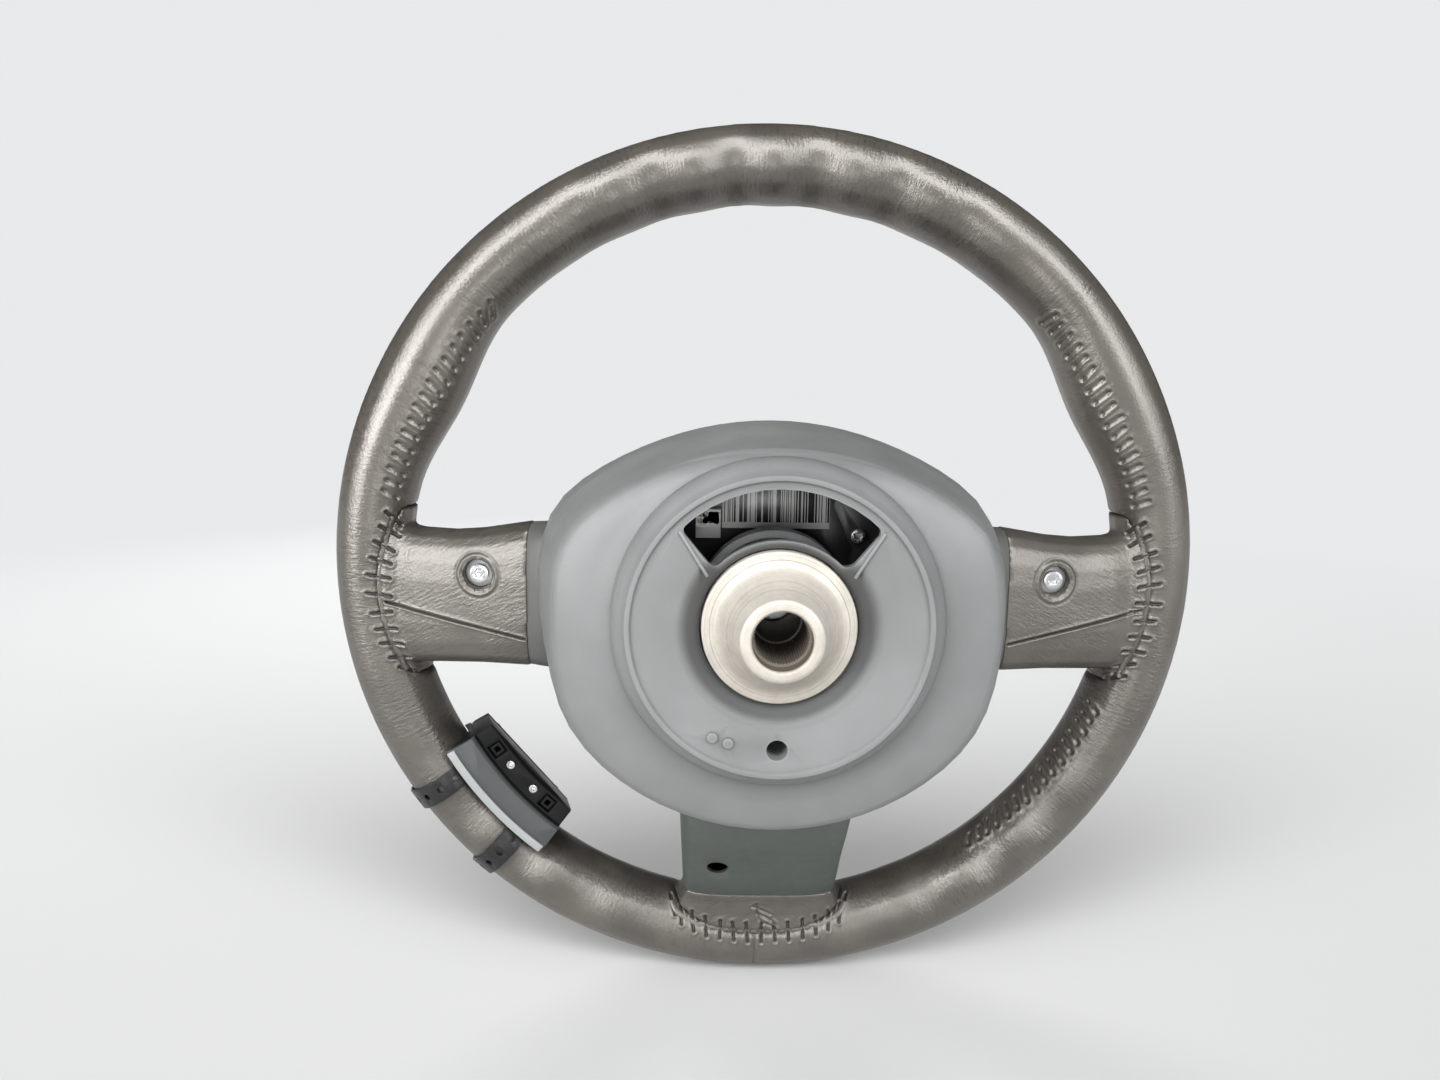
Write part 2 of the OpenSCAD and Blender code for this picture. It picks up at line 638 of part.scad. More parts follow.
// Coil spring round a guide pin, between the module and the arm
module horn_spring(x, z) color("silver") framed() translate([x, 0, z]) {
    turns = 3;
    steps = 10;
    coil = pin_r + spring_wire + 0.6;
    first = can_back + spring_wire + 0.05;
    rise = plate_front - can_back - 2 * spring_wire - 0.1;
    skin([for (i = [0:turns * steps]) let (a = i * 360 / steps, d = first + rise * i / (turns * steps))
        [for (k = [0:3]) let (q = coil + spring_wire * cos(k * 90))
            [q * sin(a), d + spring_wire * sin(k * 90), q * cos(a)]]]);
}
module left_horn_spring() horn_spring(-pin_at, arm_mid);
module right_horn_spring() horn_spring(pin_at, arm_mid);
module lower_horn_spring() horn_spring(0, -pin_at - 12);

// Airbag module: a domed pad over a pressed can with the folded bag and the gas generator
pad_stations = 48;
pad_reach = 1.5;
pad_hub = 24;
function pad_r(a) = face_reach(a) + pad_reach;
function pad_in(a, share, depth) = [pad_hub + (pad_r(a) - pad_hub) * share, depth];
function pad_profile(a) = concat(
    [[pad_r(a), can_flange], [pad_r(a), 22], [pad_r(a) - 0.8, 18.4], pad_in(a, 0.94, 14.4)],
    [pad_in(a, 0.84, 11.4), pad_in(a, 0.6, 8.2), pad_in(a, 0.3, 6.2), [pad_hub, 5.4]],
    [[pad_hub, 5.4 + wall], pad_in(a, 0.6, 8.4 + wall), pad_in(a, 0.82, 12.2 + wall)],
    [[pad_r(a) - wall - 1, 20.4], [pad_r(a) - wall - 0.6, can_flange]]);

module airbag_cover() color([0.16, 0.16, 0.17]) framed() {
    skin([for (i = [0:pad_stations - 1]) let (a = 360 * i / pad_stations)
        [for (k = [len(pad_profile(a)) - 1:-1:0]) let (p = pad_profile(a)[k])
            [p[0] * cos(a), p[1], p[0] * sin(a)]]], ring = true);
    turned() polygon([[0, 5.2], [14, 5.24], [pad_hub + 0.6, 5.5], [pad_hub + 0.6, 5.3 + wall], [0, 5.1 + wall]]);
}

module flange_outline() {
    polygon([for (i = [0:pad_stations - 1]) let (a = 360 * i / pad_stations)
        (pad_r(a) - 0.4) * [cos(a), sin(a)]]);
}

can_r = 55;
inflator_r = 30;
inflator_neck = 25.4;
bracket_at = [-33, 24];
module airbag_housing() color([0.2, 0.2, 0.21]) framed() difference() {
    union() {
        slab(can_flange, can_flange + sheet) flange_outline();
        bar(can_r, can_flange - 6, can_back);
        lower_ear();
    }
    bar(can_r - sheet, can_flange - 7, can_back - sheet);
    bar(inflator_neck + 0.2, can_back - 3, can_back + 1);
    bar(1.2, can_back - 3, can_back + 1, bracket_at[0], bracket_at[1]);
}

// Lug of the can that carries the lower guide pin
module lower_ear() {
    slab(can_back - sheet, can_back) hull() {
        translate([0, -can_r + 8]) circle(10);
        translate([0, -pin_at - 12]) circle(7);
    }
}

module folded_airbag() color([0.85, 0.84, 0.8]) framed() turned() polygon([[0, 12], [can_r - 11, 12.5],
    [can_r - 4, 15.5], [can_r - sheet - 1, 19.5], [can_r - sheet - 0.5, 24], [can_r - sheet - 0.5, 47],
    [can_r - sheet - 3, can_back - sheet - skin_gap], [inflator_r + 8.5, can_back - sheet - skin_gap],
    [inflator_r + 8.5, 44], [inflator_r + 0.5, 44], [inflator_r + 0.5, 29], [inflator_r - 4, 27.5], [0, 27.5]]);

module inflator() color([0.6, 0.6, 0.6]) framed() difference() {
    turned() polygon([[0, 28], [inflator_r - 4, 28], [inflator_r, 31], [inflator_r, can_back - sheet - 1.6],
        [inflator_r + 7, can_back - sheet - 1.6], [inflator_r + 7, can_back - sheet],
        [inflator_neck, can_back - sheet], [inflator_neck, can_back + 1.5],
        [inflator_neck - 2.5, can_back + 4], [0, can_back + 4]]);
    for (side = [-1, 1]) bar(4.6, 49, 56, side * socket_at[0], socket_at[1]);
}

// Twin plug pushed into the gas generator's two sockets, with one flat cap
socket_at = [11, 12];

module inflator_plug() color("gold") framed() {
    for (side = [-1, 1]) bar(4.4, 50, 55.5, side * socket_at[0], socket_at[1]);
    slab(55.5, 56.9) hull() for (side = [-1, 1]) translate([side * socket_at[0], socket_at[1]]) circle(5.4);
}

// Things on the can's back that show through the window in the rear cover
module module_label() color("white") framed()
    slab(can_back, can_back + 0.3) translate([-22, 26.3]) square([41.5, 18]);

module window_plug() color("white") framed() difference() {
    translate([20, can_back, 23]) cube([9.6, 7, 11.5]);
    for (i = [0:3], k = [0, 1])
        translate([21 + i * 2.1, can_back + 3.5, 29.2 + k * 2.5]) cube([1.4, 6, 1.6]);
    translate([18, can_back + 4.5, 22]) cube([14, 4, 5.4]);
}

module cable_bracket() color([0.3, 0.3, 0.32]) framed() difference() {
    slab(can_back, can_back + 1.2) translate(bracket_at) hull() {
        for (p = [[0, 0], [5.5, 11.5], [-5, 8], [-7.5, -4]]) translate(p) circle(4.2);
    }
    bar(1.4, can_back - 1, can_back + 3, bracket_at[0], bracket_at[1]);
}

module bracket_screw() color("white") framed()
    translate([bracket_at[0], can_back + 1.2, bracket_at[1]]) socket_screw(2.8, 1.8, 1.2, 2.8);

// Remote control: an arc-shaped unit on the inner side of the grip, held by two straps
module arc_piece(span = remote_span, middle = remote_at) {
    turned(span, middle - span / 2, $fn = 256) children();
}

// Outline of the grip's section, grown by g, as [radius, depth]
module grip_outline(g) {
    translate([core_at, 0]) polygon([for (k = [0:47]) let (s = k * 7.5)
        [(grip_w / 2 + g) * cos(s), (grip_t / 2 + g) * sin(s)]]);
}

strap_out = skin_gap + strap_t;
grip_in = core_at - grip_w / 2;
holder_gap = strap_out + skin_gap;
screw_floor = 14.6;
body_in = grip_in - 18.5;
body_out = grip_in + 5;

// The remote's inner face, straight in plan and leaning outwards towards the driver
module straight_face() {
    intersection() {
        children();
        rotate([0, remote_at, 0]) between_z(-60, 60) polygon([[rim_r, 40], [body_in - 0.9, 40],
            [body_in - 0.9, 13], [body_in + 7.1, -13], [body_in + 7.1, -30], [rim_r, -30]]);
    }
}

module remote_holder() color([0.08, 0.08, 0.09]) framed() straight_face() difference() {
    arc_piece() difference() {
        polygon([[body_out - 2, 17.5], [body_in + 9.6, 17.2], [body_in + 9, 16], [body_in + 1, 14.8],
            [body_in, 13.4], [body_in, -9.4], [body_out - 6, -9.4], [body_out - 4, -14.4],
            [body_out - 1, -15]]);
        grip_outline(holder_gap);
    }
    at_holder_screws() bar(1.3, 5, 18);
    at_holder_screws() bar(2, screw_floor, 20);
    for (side = [-1, 1]) at_angle(remote_at + side * 6.7, body_in + 5)
        translate([0, screw_floor - 0.4, 0]) square_frame();
}

// Groove round a small square socket in the holder's back
module square_frame() {
    difference() {
        translate([-3.2, -1, -3.2]) cube([6.4, 6, 6.4]);
        translate([-2.3, -2, -2.3]) cube([4.6, 8, 4.6]);
    }
    translate([-1.2, -4, -1.2]) cube([2.4, 9, 2.4]);
}

// Turns a piece to a direction below 3 o'clock and moves it out to a radius
module at_angle(a, r) {
    rotate([0, a, 0]) translate([r, 0, 0]) children();
}

module at_holder_screws() {
    for (side = [-1, 1]) at_angle(remote_at + side * 3, body_in + 4.6) children();
}

module remote_back() color([0.3, 0.31, 0.32]) framed() arc_piece() difference() {
    polygon([[body_out, 17.6], [body_out, 19.6], [body_out - 4, 20.9], [body_out - 6, 20.9],
        [body_in + 10.4, 19.6], [body_in + 9.4, 18.6], [body_in + 9.4, 17.5], [body_out - 2, 17.8],
        [body_out - 1, 17.8]]);
    polygon([[body_out - 4.4, 19.8], [body_out - 0.4, 19.1], [body_out + 2, 24], [body_out - 4.4, 24]]);
}

module remote_stripe() color([0.75, 0.76, 0.76]) framed() arc_piece(remote_span - 0.4)
    polygon([[body_out - 4.3, 19.9], [body_out - 0.4, 19.2], [body_out - 0.5, 20.6], [body_out - 4.3, 21.5]]);

front_face = -13.6;
module remote_front() color([0.12, 0.12, 0.13]) framed() straight_face() difference() {
    arc_piece() polygon([[body_in + 0.6, -9.7], [body_in + 1.4, front_face], [body_out - 7.2, front_face],
        [body_out - 6.2, front_face + 1], [body_out - 5.8, -9.7]]);
    for (k = [0:4]) at_key(k) bar(key_r + snap_gap, -20, 0);
}

module at_key(k) {
    at_angle(remote_at + (k - 2) * 3.9, body_out - 11.8) children();
}

module remote_key(k) color([0.7, 0.7, 0.7]) framed() at_key(k) difference() {
    bar(key_r, front_face - 1.4, -9.6 - key_travel - 0.1);
    translate([0, front_face - 1.4 - 14.6, 0]) sphere(r = 15);
}
module remote_key_1() remote_key(0);
module remote_key_2() remote_key(1);
module remote_key_3() remote_key(2);
module remote_key_4() remote_key(3);
module remote_key_5() remote_key(4);

module holder_screw(side) color("silver") framed()
    at_angle(remote_at + side * 3, body_in + 4.6) translate([0, screw_floor, 0]) socket_screw(1.8, 1.2, 1.2, 7);
module upper_holder_screw() holder_screw(-1);
module lower_holder_screw() holder_screw(1);

// Strap: a perforated band round the grip
module strap(side) color([0.25, 0.25, 0.25]) framed()
    at_angle(remote_at + side * strap_gap / 2, 0) difference() {
        translate([0, 0, -strap_w / 2]) linear_extrude(strap_w) difference() {
            grip_outline(strap_out);
            grip_outline(skin_gap);
        }
        for (k = [0:4]) let (s = 12 + k * 26, side_x = core_at + (grip_w / 2 + 1) * cos(s),
                side_y = (grip_t / 2 + 1) * sin(s))
            translate([side_x, side_y, 0]) rotate([0, 0, s]) rotate([0, 90, 0])
                cylinder(r = 1.5, h = 6, center = true, $fn = 16);
    }
module upper_strap() strap(-1);
module lower_strap() strap(1);

rim_grip();
armature();
hub_boss();
rear_cover();
left_spoke_leather();
right_spoke_leather();
lower_spoke_leather();
left_spoke_collar();
right_spoke_collar();
lower_spoke_cover();
left_spoke_trim();
right_spoke_trim();
lower_spoke_trim();
left_trim_screw();
right_trim_screw();
lower_trim_screw();
left_cover_screw();
right_cover_screw();
lower_cover_screw();
left_horn_post();
right_horn_post();
lower_horn_post();
airbag_cover();
airbag_housing();
folded_airbag();
inflator();
inflator_plug();
module_label();
window_plug();
cable_bracket();
bracket_screw();
left_guide_pin();
right_guide_pin();
lower_guide_pin();
left_horn_contact();
right_horn_contact();
lower_horn_contact();
left_horn_spring();
right_horn_spring();
lower_horn_spring();
remote_holder();
remote_back();
remote_stripe();
remote_front();
remote_key_1();
remote_key_2();
remote_key_3();
remote_key_4();
remote_key_5();
upper_holder_screw();
lower_holder_screw();
upper_strap();
lower_strap();
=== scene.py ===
# %% [markdown]
# # A leather car steering wheel, seen from the steering column's side
#
# The wheel was designed in CAD, one solid for each piece that would come apart on a bench. This notebook dresses
# those solids for a picture: it rounds their edges, wraps the grip in leather, sews it, and gives every piece a
# finish made from shader nodes. The CAD model stays as it is. It is loaded first, as a fixed frame, and each new
# piece is tied to the body of the frame that carries it.

# %% Load the frame and keep the CAD model's box
import json
import math
from collections import namedtuple

import bmesh
import bpy
import numpy as np
from mathutils import Matrix, Vector
from mathutils.bvhtree import BVHTree


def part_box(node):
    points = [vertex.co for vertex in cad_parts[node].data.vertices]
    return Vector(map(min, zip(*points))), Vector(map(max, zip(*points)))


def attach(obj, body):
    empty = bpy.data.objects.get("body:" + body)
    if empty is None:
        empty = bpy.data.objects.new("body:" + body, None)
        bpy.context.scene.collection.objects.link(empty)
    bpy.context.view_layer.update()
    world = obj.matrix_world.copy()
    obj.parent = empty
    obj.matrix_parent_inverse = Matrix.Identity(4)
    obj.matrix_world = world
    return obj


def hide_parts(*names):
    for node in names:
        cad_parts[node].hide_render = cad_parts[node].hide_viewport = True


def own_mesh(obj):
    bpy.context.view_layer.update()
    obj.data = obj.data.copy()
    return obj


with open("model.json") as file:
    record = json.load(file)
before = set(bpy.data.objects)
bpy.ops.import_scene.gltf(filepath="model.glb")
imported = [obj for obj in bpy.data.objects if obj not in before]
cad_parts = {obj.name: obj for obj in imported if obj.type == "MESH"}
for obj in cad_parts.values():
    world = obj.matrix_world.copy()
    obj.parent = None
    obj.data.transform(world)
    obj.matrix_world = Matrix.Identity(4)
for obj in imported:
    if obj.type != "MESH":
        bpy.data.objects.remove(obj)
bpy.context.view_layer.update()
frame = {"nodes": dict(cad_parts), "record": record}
cad_nodes = frame["nodes"]
body_of_node = {n: b for b, members in frame["record"]["behaviour"]["bodies"].items() for n in members}
slot_of_node = {s["node"]: s["material_slot"] for s in frame["record"]["subparts"]}

# %% Sizes read from the frame, in metres
MM = 0.001
grip_low, grip_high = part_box("rim_grip")
rim_radius = grip_high.x
rim_plane = (grip_low.y + grip_high.y) / 2
seam_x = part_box("right_spoke_leather")[1].x
collar_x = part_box("right_spoke_leather")[0].x
screw_low, screw_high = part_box("right_trim_screw")
grip_half_width = 16.3 * MM
grip_mean_radius = 17 * MM
ring_radius = rim_radius - grip_half_width
print("rim radius", round(rim_radius, 4), "rim plane at y", round(rim_plane, 4))


# %% [markdown]
# ## The camera
#
# The picture is taken from a little above the hub, with a wide lens, close to the wheel. The three turns below
# were found by fitting circles of the rim and the hub to the photograph. They are applied to a frame whose x is
# the picture's right, so the wheel's own axes are first exchanged: from the column side, +X lies to the left.

# %% Place the camera
camera_place = Vector((0.02592, 0.34826, 0.09436))
camera_tilt = math.radians(9.968)
camera_swing = math.radians(0.650)
camera_roll = math.radians(-0.845)
camera_lens = 27.25

facing = Matrix(((-1, 0, 0), (0, 0, 1), (0, 1, 0)))
turns = (
    Matrix.Rotation(camera_tilt, 3, "X")
    @ Matrix.Rotation(camera_swing, 3, "Y")
    @ Matrix.Rotation(camera_roll, 3, "Z")
)
camera_data = bpy.data.cameras.new("camera")
camera_data.lens = camera_lens
camera_data.sensor_width = 36
camera_data.clip_start = 0.01
camera = bpy.data.objects.new("camera", camera_data)
bpy.context.scene.collection.objects.link(camera)
camera.matrix_world = Matrix.LocRotScale(camera_place, (turns @ facing).transposed().to_quaternion(), None)
bpy.context.scene.camera = camera

# %% [markdown]
# ## Writing materials with few words
#
# A material is a graph of nodes. The helpers below keep the graph readable: `Finish` starts a material, adds
# nodes, and links a number, a colour or another node's output into an input by its name. Every pattern reads
# Object coordinates, which are metres in the wheel's frame, so the grain has its real size on every piece.


# %% A small helper for node graphs
class Finish:
    """One material with its shader, and short ways to add nodes to it."""

    def __init__(self, name, colour, roughness, metallic=0.0):
        self.material = bpy.data.materials.new(name)
        self.material.use_nodes = True
        self.tree = self.material.node_tree
        self.shader = self.tree.nodes["Principled BSDF"]
        self.shader.inputs["Base Color"].default_value = (*colour, 1)
        self.shader.inputs["Roughness"].default_value = roughness
        self.shader.inputs["Metallic"].default_value = metallic
        self.place = self.add("ShaderNodeTexCoord").outputs["Object"]

    def add(self, kind, **values):
        """Adds a node. Values name its settings or its inputs, with spaces written as underscores."""
        node = self.tree.nodes.new(kind)
        for key, value in values.items():
            socket = node.inputs.get(key.replace("_", " ").capitalize()) or node.inputs.get(key.replace("_", " "))
            if socket is None:
                setattr(node, key, value)
            elif isinstance(value, bpy.types.NodeSocket):
                self.tree.links.new(value, socket)
            else:
                socket.default_value = value
        return node

    def maths(self, operation, first, second=0.0):
        node = self.tree.nodes.new("ShaderNodeMath")
        node.operation = operation
        for socket, value in zip(node.inputs, (first, second)):
            if isinstance(value, bpy.types.NodeSocket):
                self.tree.links.new(value, socket)
            else:
                socket.default_value = value
        return node.outputs[0]

    def noise(self, scale, detail=2.0, roughness=0.5, place=None):
        return self.add("ShaderNodeTexNoise", Vector=place or self.place, Scale=scale, Detail=detail,
                        Roughness=roughness).outputs["Fac"]

    def cells(self, scale, feature="F1"):
        return self.add("ShaderNodeTexVoronoi", feature=feature, Vector=self.place,
                        Scale=scale).outputs["Distance"]

    def ranged(self, value, low, high, new_low, new_high):
        return self.add("ShaderNodeMapRange", Value=value, From_Min=low, From_Max=high, To_Min=new_low,
                        To_Max=new_high).outputs[0]

    def blend(self, share, first, second):
        """Mixes two colours by a share."""
        node = self.tree.nodes.new("ShaderNodeMix")
        node.data_type = "RGBA"
        for socket, value in ((node.inputs[0], share), (node.inputs[6], first), (node.inputs[7], second)):
            if isinstance(value, bpy.types.NodeSocket):
                self.tree.links.new(value, socket)
            elif isinstance(value, tuple):
                socket.default_value = (*value, 1)
            else:
                socket.default_value = value
        return node.outputs[2]

    def attribute(self, name):
        return self.add("ShaderNodeAttribute", attribute_name=name).outputs["Fac"]

    def set(self, **values):
        for key, value in values.items():
            socket = self.shader.inputs[key.replace("_", " ")]
            if isinstance(value, bpy.types.NodeSocket):
                self.tree.links.new(value, socket)
            else:
                socket.default_value = value

    def bump(self, height, depth, strength=1.0, under=None):
        """Raises the surface by height, from 0 to 1, over a depth in metres."""
        node = self.add("ShaderNodeBump", Height=height, Strength=strength, Distance=depth)
        if under is not None:
            self.tree.links.new(under, node.inputs["Normal"])
        return node.outputs[0]


# %% [markdown]
# ## Leather
#
# The grip is black leather that has turned grey-brown with use. Three things tell the eye that it is leather.
# The first is the grain, small rounded cells about a millimetre across. The second is wear: where hands hold the
# rim, the grain is polished flat and shines. The third is at the seams, where the thread pulls the leather into
# hollows. The hollows are real dents in the mesh, made further down, and they are also written into a point
# attribute, which this material reads to paint shade into them and to make them rougher. The folds' valleys are
# painted darker too. Two more attributes, "arc" and "girth", measure the way along and round the grip, so that the
# fine folds of stretched leather always lie across it. The finger scallops are part of the mesh, but leather that
# has been pressed for years swells between them, which a wave over the attribute "swell" adds to the shading.
#
# Years of skin grease lie on the leather like a thin varnish. That is why its index of refraction is a little
# higher than plain leather's, and why its reflections are faintly warm.


# %% Leather material
scallop_count = 32


def leather_finish():
    leather = Finish("worn_leather", (0.06, 0.052, 0.046), 0.5)
    grain = leather.cells(1000, feature="SMOOTH_F1")
    fine = leather.cells(2100)
    flow = leather.add("ShaderNodeCombineXYZ", X=leather.maths("MULTIPLY", leather.attribute("arc"), 820),
                       Y=leather.maths("MULTIPLY", leather.attribute("girth"), 190)).outputs[0]
    folds = leather.noise(1.0, detail=3, roughness=0.6, place=flow)
    patches = leather.ranged(leather.noise(34, detail=2), 0.36, 0.54, 0.1, 1)
    wear = leather.noise(17, detail=3)
    tone = leather.noise(55, detail=3)
    dent_shade = leather.attribute("dent_shade")
    hand = leather.attribute("hand")
    brown = leather.blend(leather.ranged(tone, 0.35, 0.65, 0, 1), (0.031, 0.027, 0.023), (0.05, 0.044, 0.037))
    polished = leather.blend(leather.maths("MULTIPLY", hand, leather.ranged(wear, 0.3, 0.7, 0.1, 0.8)), brown,
                             (0.07, 0.062, 0.053))
    # The folds' valleys are painted darker in the colour.
    creased = leather.maths("MULTIPLY", leather.ranged(folds, 0.36, 0.47, 0.55, 0), patches)
    fold_darkened = leather.blend(creased, polished, (0.012, 0.01, 0.008))
    # Painted shade: the colour turns near black in the pressed dents, by the share that press stores.
    dark = leather.blend(leather.maths("MULTIPLY", dent_shade, 0.9), fold_darkened, (0.006, 0.005, 0.004))
    rubbed = leather.maths("ADD", wear, leather.maths("MULTIPLY", hand, 0.35))
    shine = leather.ranged(rubbed, 0.38, 0.85, 0.46, 0.31)
    height = leather.maths("ADD", leather.maths("MULTIPLY", grain, 0.4),
                           leather.maths("MULTIPLY", leather.maths("MULTIPLY", folds, patches), 1.6))
    parts = leather.add("ShaderNodeSeparateXYZ", Vector=leather.place)
    about = leather.maths("ARCTAN2", parts.outputs[2], parts.outputs[0])
    wave = leather.maths("COSINE", leather.maths("MULTIPLY", about, scallop_count))
    swell = leather.bump(leather.maths("MULTIPLY", leather.attribute("swell"), wave), 0.0018)
    coarse = leather.bump(height, 0.00027, leather.ranged(hand, 0, 1, 0.8, 0.55), under=swell)
    leather.set(Base_Color=dark, Roughness=leather.maths("ADD", shine, leather.maths("MULTIPLY", dent_shade, 0.25)),
                Normal=leather.bump(fine, 0.0001, 0.25, under=coarse))
    leather.set(IOR=1.62, Specular_IOR_Level=1.0, Specular_Tint=(1.0, 0.95, 0.885, 1.0))
    return leather.material


def thread_finish():
    thread = Finish("sewing_thread", (0.03, 0.027, 0.024), 0.6)
    twist = thread.add("ShaderNodeTexWave", bands_direction="DIAGONAL", Vector=thread.place,
                       Scale=900).outputs["Fac"]
    thread.set(Normal=thread.bump(twist, 0.0001, 0.6))
    return thread.material


# %% [markdown]
# ## Moulded plastic, paint and rubber
#
# Moulded plastic isn't smooth: its tool was etched, so that light spreads on a fine grain. One recipe serves
# the covers, the pad and the remote control with different colours, grain sizes and depths. A slow noise shifts
# the colour by a few hundredths, and a faster one adds faint rubbed marks to the roughness. The rear cover has
# painted light as well. A ring round the hub is painted darker, as painted shade, so its colour follows the
# distance from the axis there. Ambient occlusion paints shade into its corners, and the same node, turned to the
# inside, paints a highlight on its outer edges.


# %% Plastic, painted and rubber materials
def from_axis(finish):
    """Distance from the wheel's axis, as a node output."""
    parts = finish.add("ShaderNodeSeparateXYZ", Vector=finish.place)
    return finish.maths("SQRT", finish.maths("ADD", finish.maths("POWER", parts.outputs[0], 2),
                                             finish.maths("POWER", parts.outputs[2], 2)))


def plastic_finish(name, colour, roughness, grain=2600, depth=0.00009, coat=0.0, shaded_groove=None, gloss=0.5):
    plastic = Finish(name, colour, roughness)
    plastic.set(Specular_IOR_Level=gloss)
    cloud = plastic.noise(22, detail=3)
    rubbed = plastic.noise(90, detail=5, roughness=0.7)
    darker = tuple(c * 0.9 for c in colour)
    lighter = tuple(min(1.0, c * 1.08) for c in colour)
    tone = plastic.blend(plastic.ranged(cloud, 0.35, 0.65, 0, 1), darker, lighter)
    if shaded_groove:
        inner, outer = shaded_groove
        # Painted shade: the colour darkens between the two radii, in the ring round the hub.
        away = plastic.ranged(from_axis(plastic), inner, outer, 1, 0)
        tone = plastic.blend(plastic.maths("MULTIPLY", away, 0.6), tone, tuple(c * 0.2 for c in colour))
        # Painted shade in the cover's corners from ambient occlusion, and from its inside mode a painted highlight
        # on outer edges.
        painted_corner_shade = plastic.add("ShaderNodeAmbientOcclusion", samples=8, Distance=0.005).outputs["AO"]
        thin = plastic.add("ShaderNodeAmbientOcclusion", samples=8, inside=True, Distance=0.0016).outputs["AO"]
        tone = plastic.blend(plastic.ranged(thin, 0.5, 0.88, 0.35, 0), tone, tuple(c * 1.9 for c in colour))
        tone = plastic.blend(plastic.ranged(painted_corner_shade, 0.45, 0.92, 0.75, 0), tone, tuple(c * 0.22 for c in colour))
    etched = plastic.maths("ADD", plastic.cells(grain), plastic.maths("MULTIPLY", plastic.noise(grain / 2), 0.5))
    plastic.set(Base_Color=tone, Normal=plastic.bump(etched, depth, 0.6),
                Roughness=plastic.ranged(rubbed, 0.3, 0.75, roughness - 0.06, roughness + 0.08))
    plastic.set(Coat_Weight=coat, Coat_Roughness=0.2)
    return plastic.material


# %% [markdown]
# ## Metals
#
# The hub was turned on a lathe, so its marks are rings about the wheel's axis. The distance from that axis is
# worked out from the Object coordinates and drives a noise in one dimension: each radius gets its own height.
# The bare steel has gone dull and pale in the air, so its finish is only partly metallic. Inside the bore, short
# of its mouth, the colour is painted near black, as painted shade in the deep hole. Cast metal has no direction,
# and a zinc-plated screw is somewhere between, bright with a cloudy bloom.


# %% Metal materials
shaded_bore_radius = 12.6 * MM
unshaded_mouth = 1.6 * MM


def turned_finish():
    metal = Finish("turned_hub_metal", (0.9, 0.86, 0.79), 0.5, metallic=0.35)
    depth = metal.add("ShaderNodeSeparateXYZ", Vector=metal.place).outputs[1]
    rings = metal.add("ShaderNodeTexNoise", noise_dimensions="1D", W=metal.maths(
        "ADD", from_axis(metal), metal.maths("MULTIPLY", depth, 0.7)), Scale=5200, Detail=3).outputs["Fac"]
    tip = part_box("hub_boss")[1].y
    # Painted shade: inside the bore, short of its mouth, the colour turns near black.
    bore = metal.maths("MULTIPLY", metal.maths("LESS_THAN", from_axis(metal), shaded_bore_radius),
                       metal.maths("LESS_THAN", depth, tip - unshaded_mouth))
    nicks = metal.ranged(metal.cells(260), 0.0, 0.09, 0.0, 1.0)
    smear = metal.noise(70, detail=6, roughness=0.75)
    tint = metal.blend(metal.ranged(smear, 0.35, 0.7, 0, 1), (0.5, 0.465, 0.415), (0.37, 0.34, 0.3))
    worn = metal.add("ShaderNodeTexNoise", noise_dimensions="1D", W=from_axis(metal), Scale=1500,
                     Detail=2).outputs["Fac"]
    tint = metal.blend(metal.maths("MULTIPLY", metal.ranged(worn, 0.56, 0.68, 0, 0.6), smear), tint,
                       (0.2, 0.18, 0.15))
    bore_shaded = metal.blend(metal.maths("MULTIPLY", bore, 0.85), tint, (0.07, 0.055, 0.04))
    metal.set(Base_Color=bore_shaded, Roughness=metal.ranged(smear, 0.3, 0.75, 0.46, 0.64),
              Normal=metal.bump(nicks, 0.00012, 0.25, under=metal.bump(rings, 0.00006, 0.5)))
    return metal.material


def metal_finish(name, colour, roughness, grain=900, depth=0.00005):
    metal = Finish(name, colour, roughness, metallic=1.0)
    bloom = metal.noise(grain / 3, detail=5, roughness=0.7)
    tone = metal.blend(metal.ranged(bloom, 0.3, 0.7, 0, 1), tuple(c * 0.78 for c in colour), colour)
    metal.set(Base_Color=tone, Roughness=metal.ranged(bloom, 0.3, 0.7, roughness - 0.08, roughness + 0.1),
              Normal=metal.bump(metal.noise(grain, detail=4), depth, 0.5))
    return metal.material


# %% [markdown]
# ## Cloth of the folded bag, and the striped label
#
# The bag is hidden under the pad, but the model can be opened, so it gets a plain weave: two waves at right
# angles. The label behind the window carries generic stripes. Their widths are random, which white noise gives
# when it is fed with whole numbers: the x coordinate is cut into bars a third of a millimetre wide.


# %% Cloth and label materials
def cloth_finish():
    cloth = Finish("bag_cloth", (0.74, 0.73, 0.68), 0.85)
    warp = cloth.add("ShaderNodeTexWave", Vector=cloth.place, Scale=380).outputs["Fac"]
    weft = cloth.add("ShaderNodeTexWave", bands_direction="Z", Vector=cloth.place, Scale=380).outputs["Fac"]
    weave = cloth.maths("MULTIPLY", warp, weft)
    cloth.set(Base_Color=cloth.blend(weave, (0.62, 0.61, 0.57), (0.8, 0.79, 0.74)),
              Normal=cloth.bump(weave, 0.0003, 0.7))
    cloth.set(Sheen_Weight=0.3)
    return cloth.material


bar_width = 0.34 * MM
lower_margin = 2.4 * MM
upper_margin = 0.8 * MM


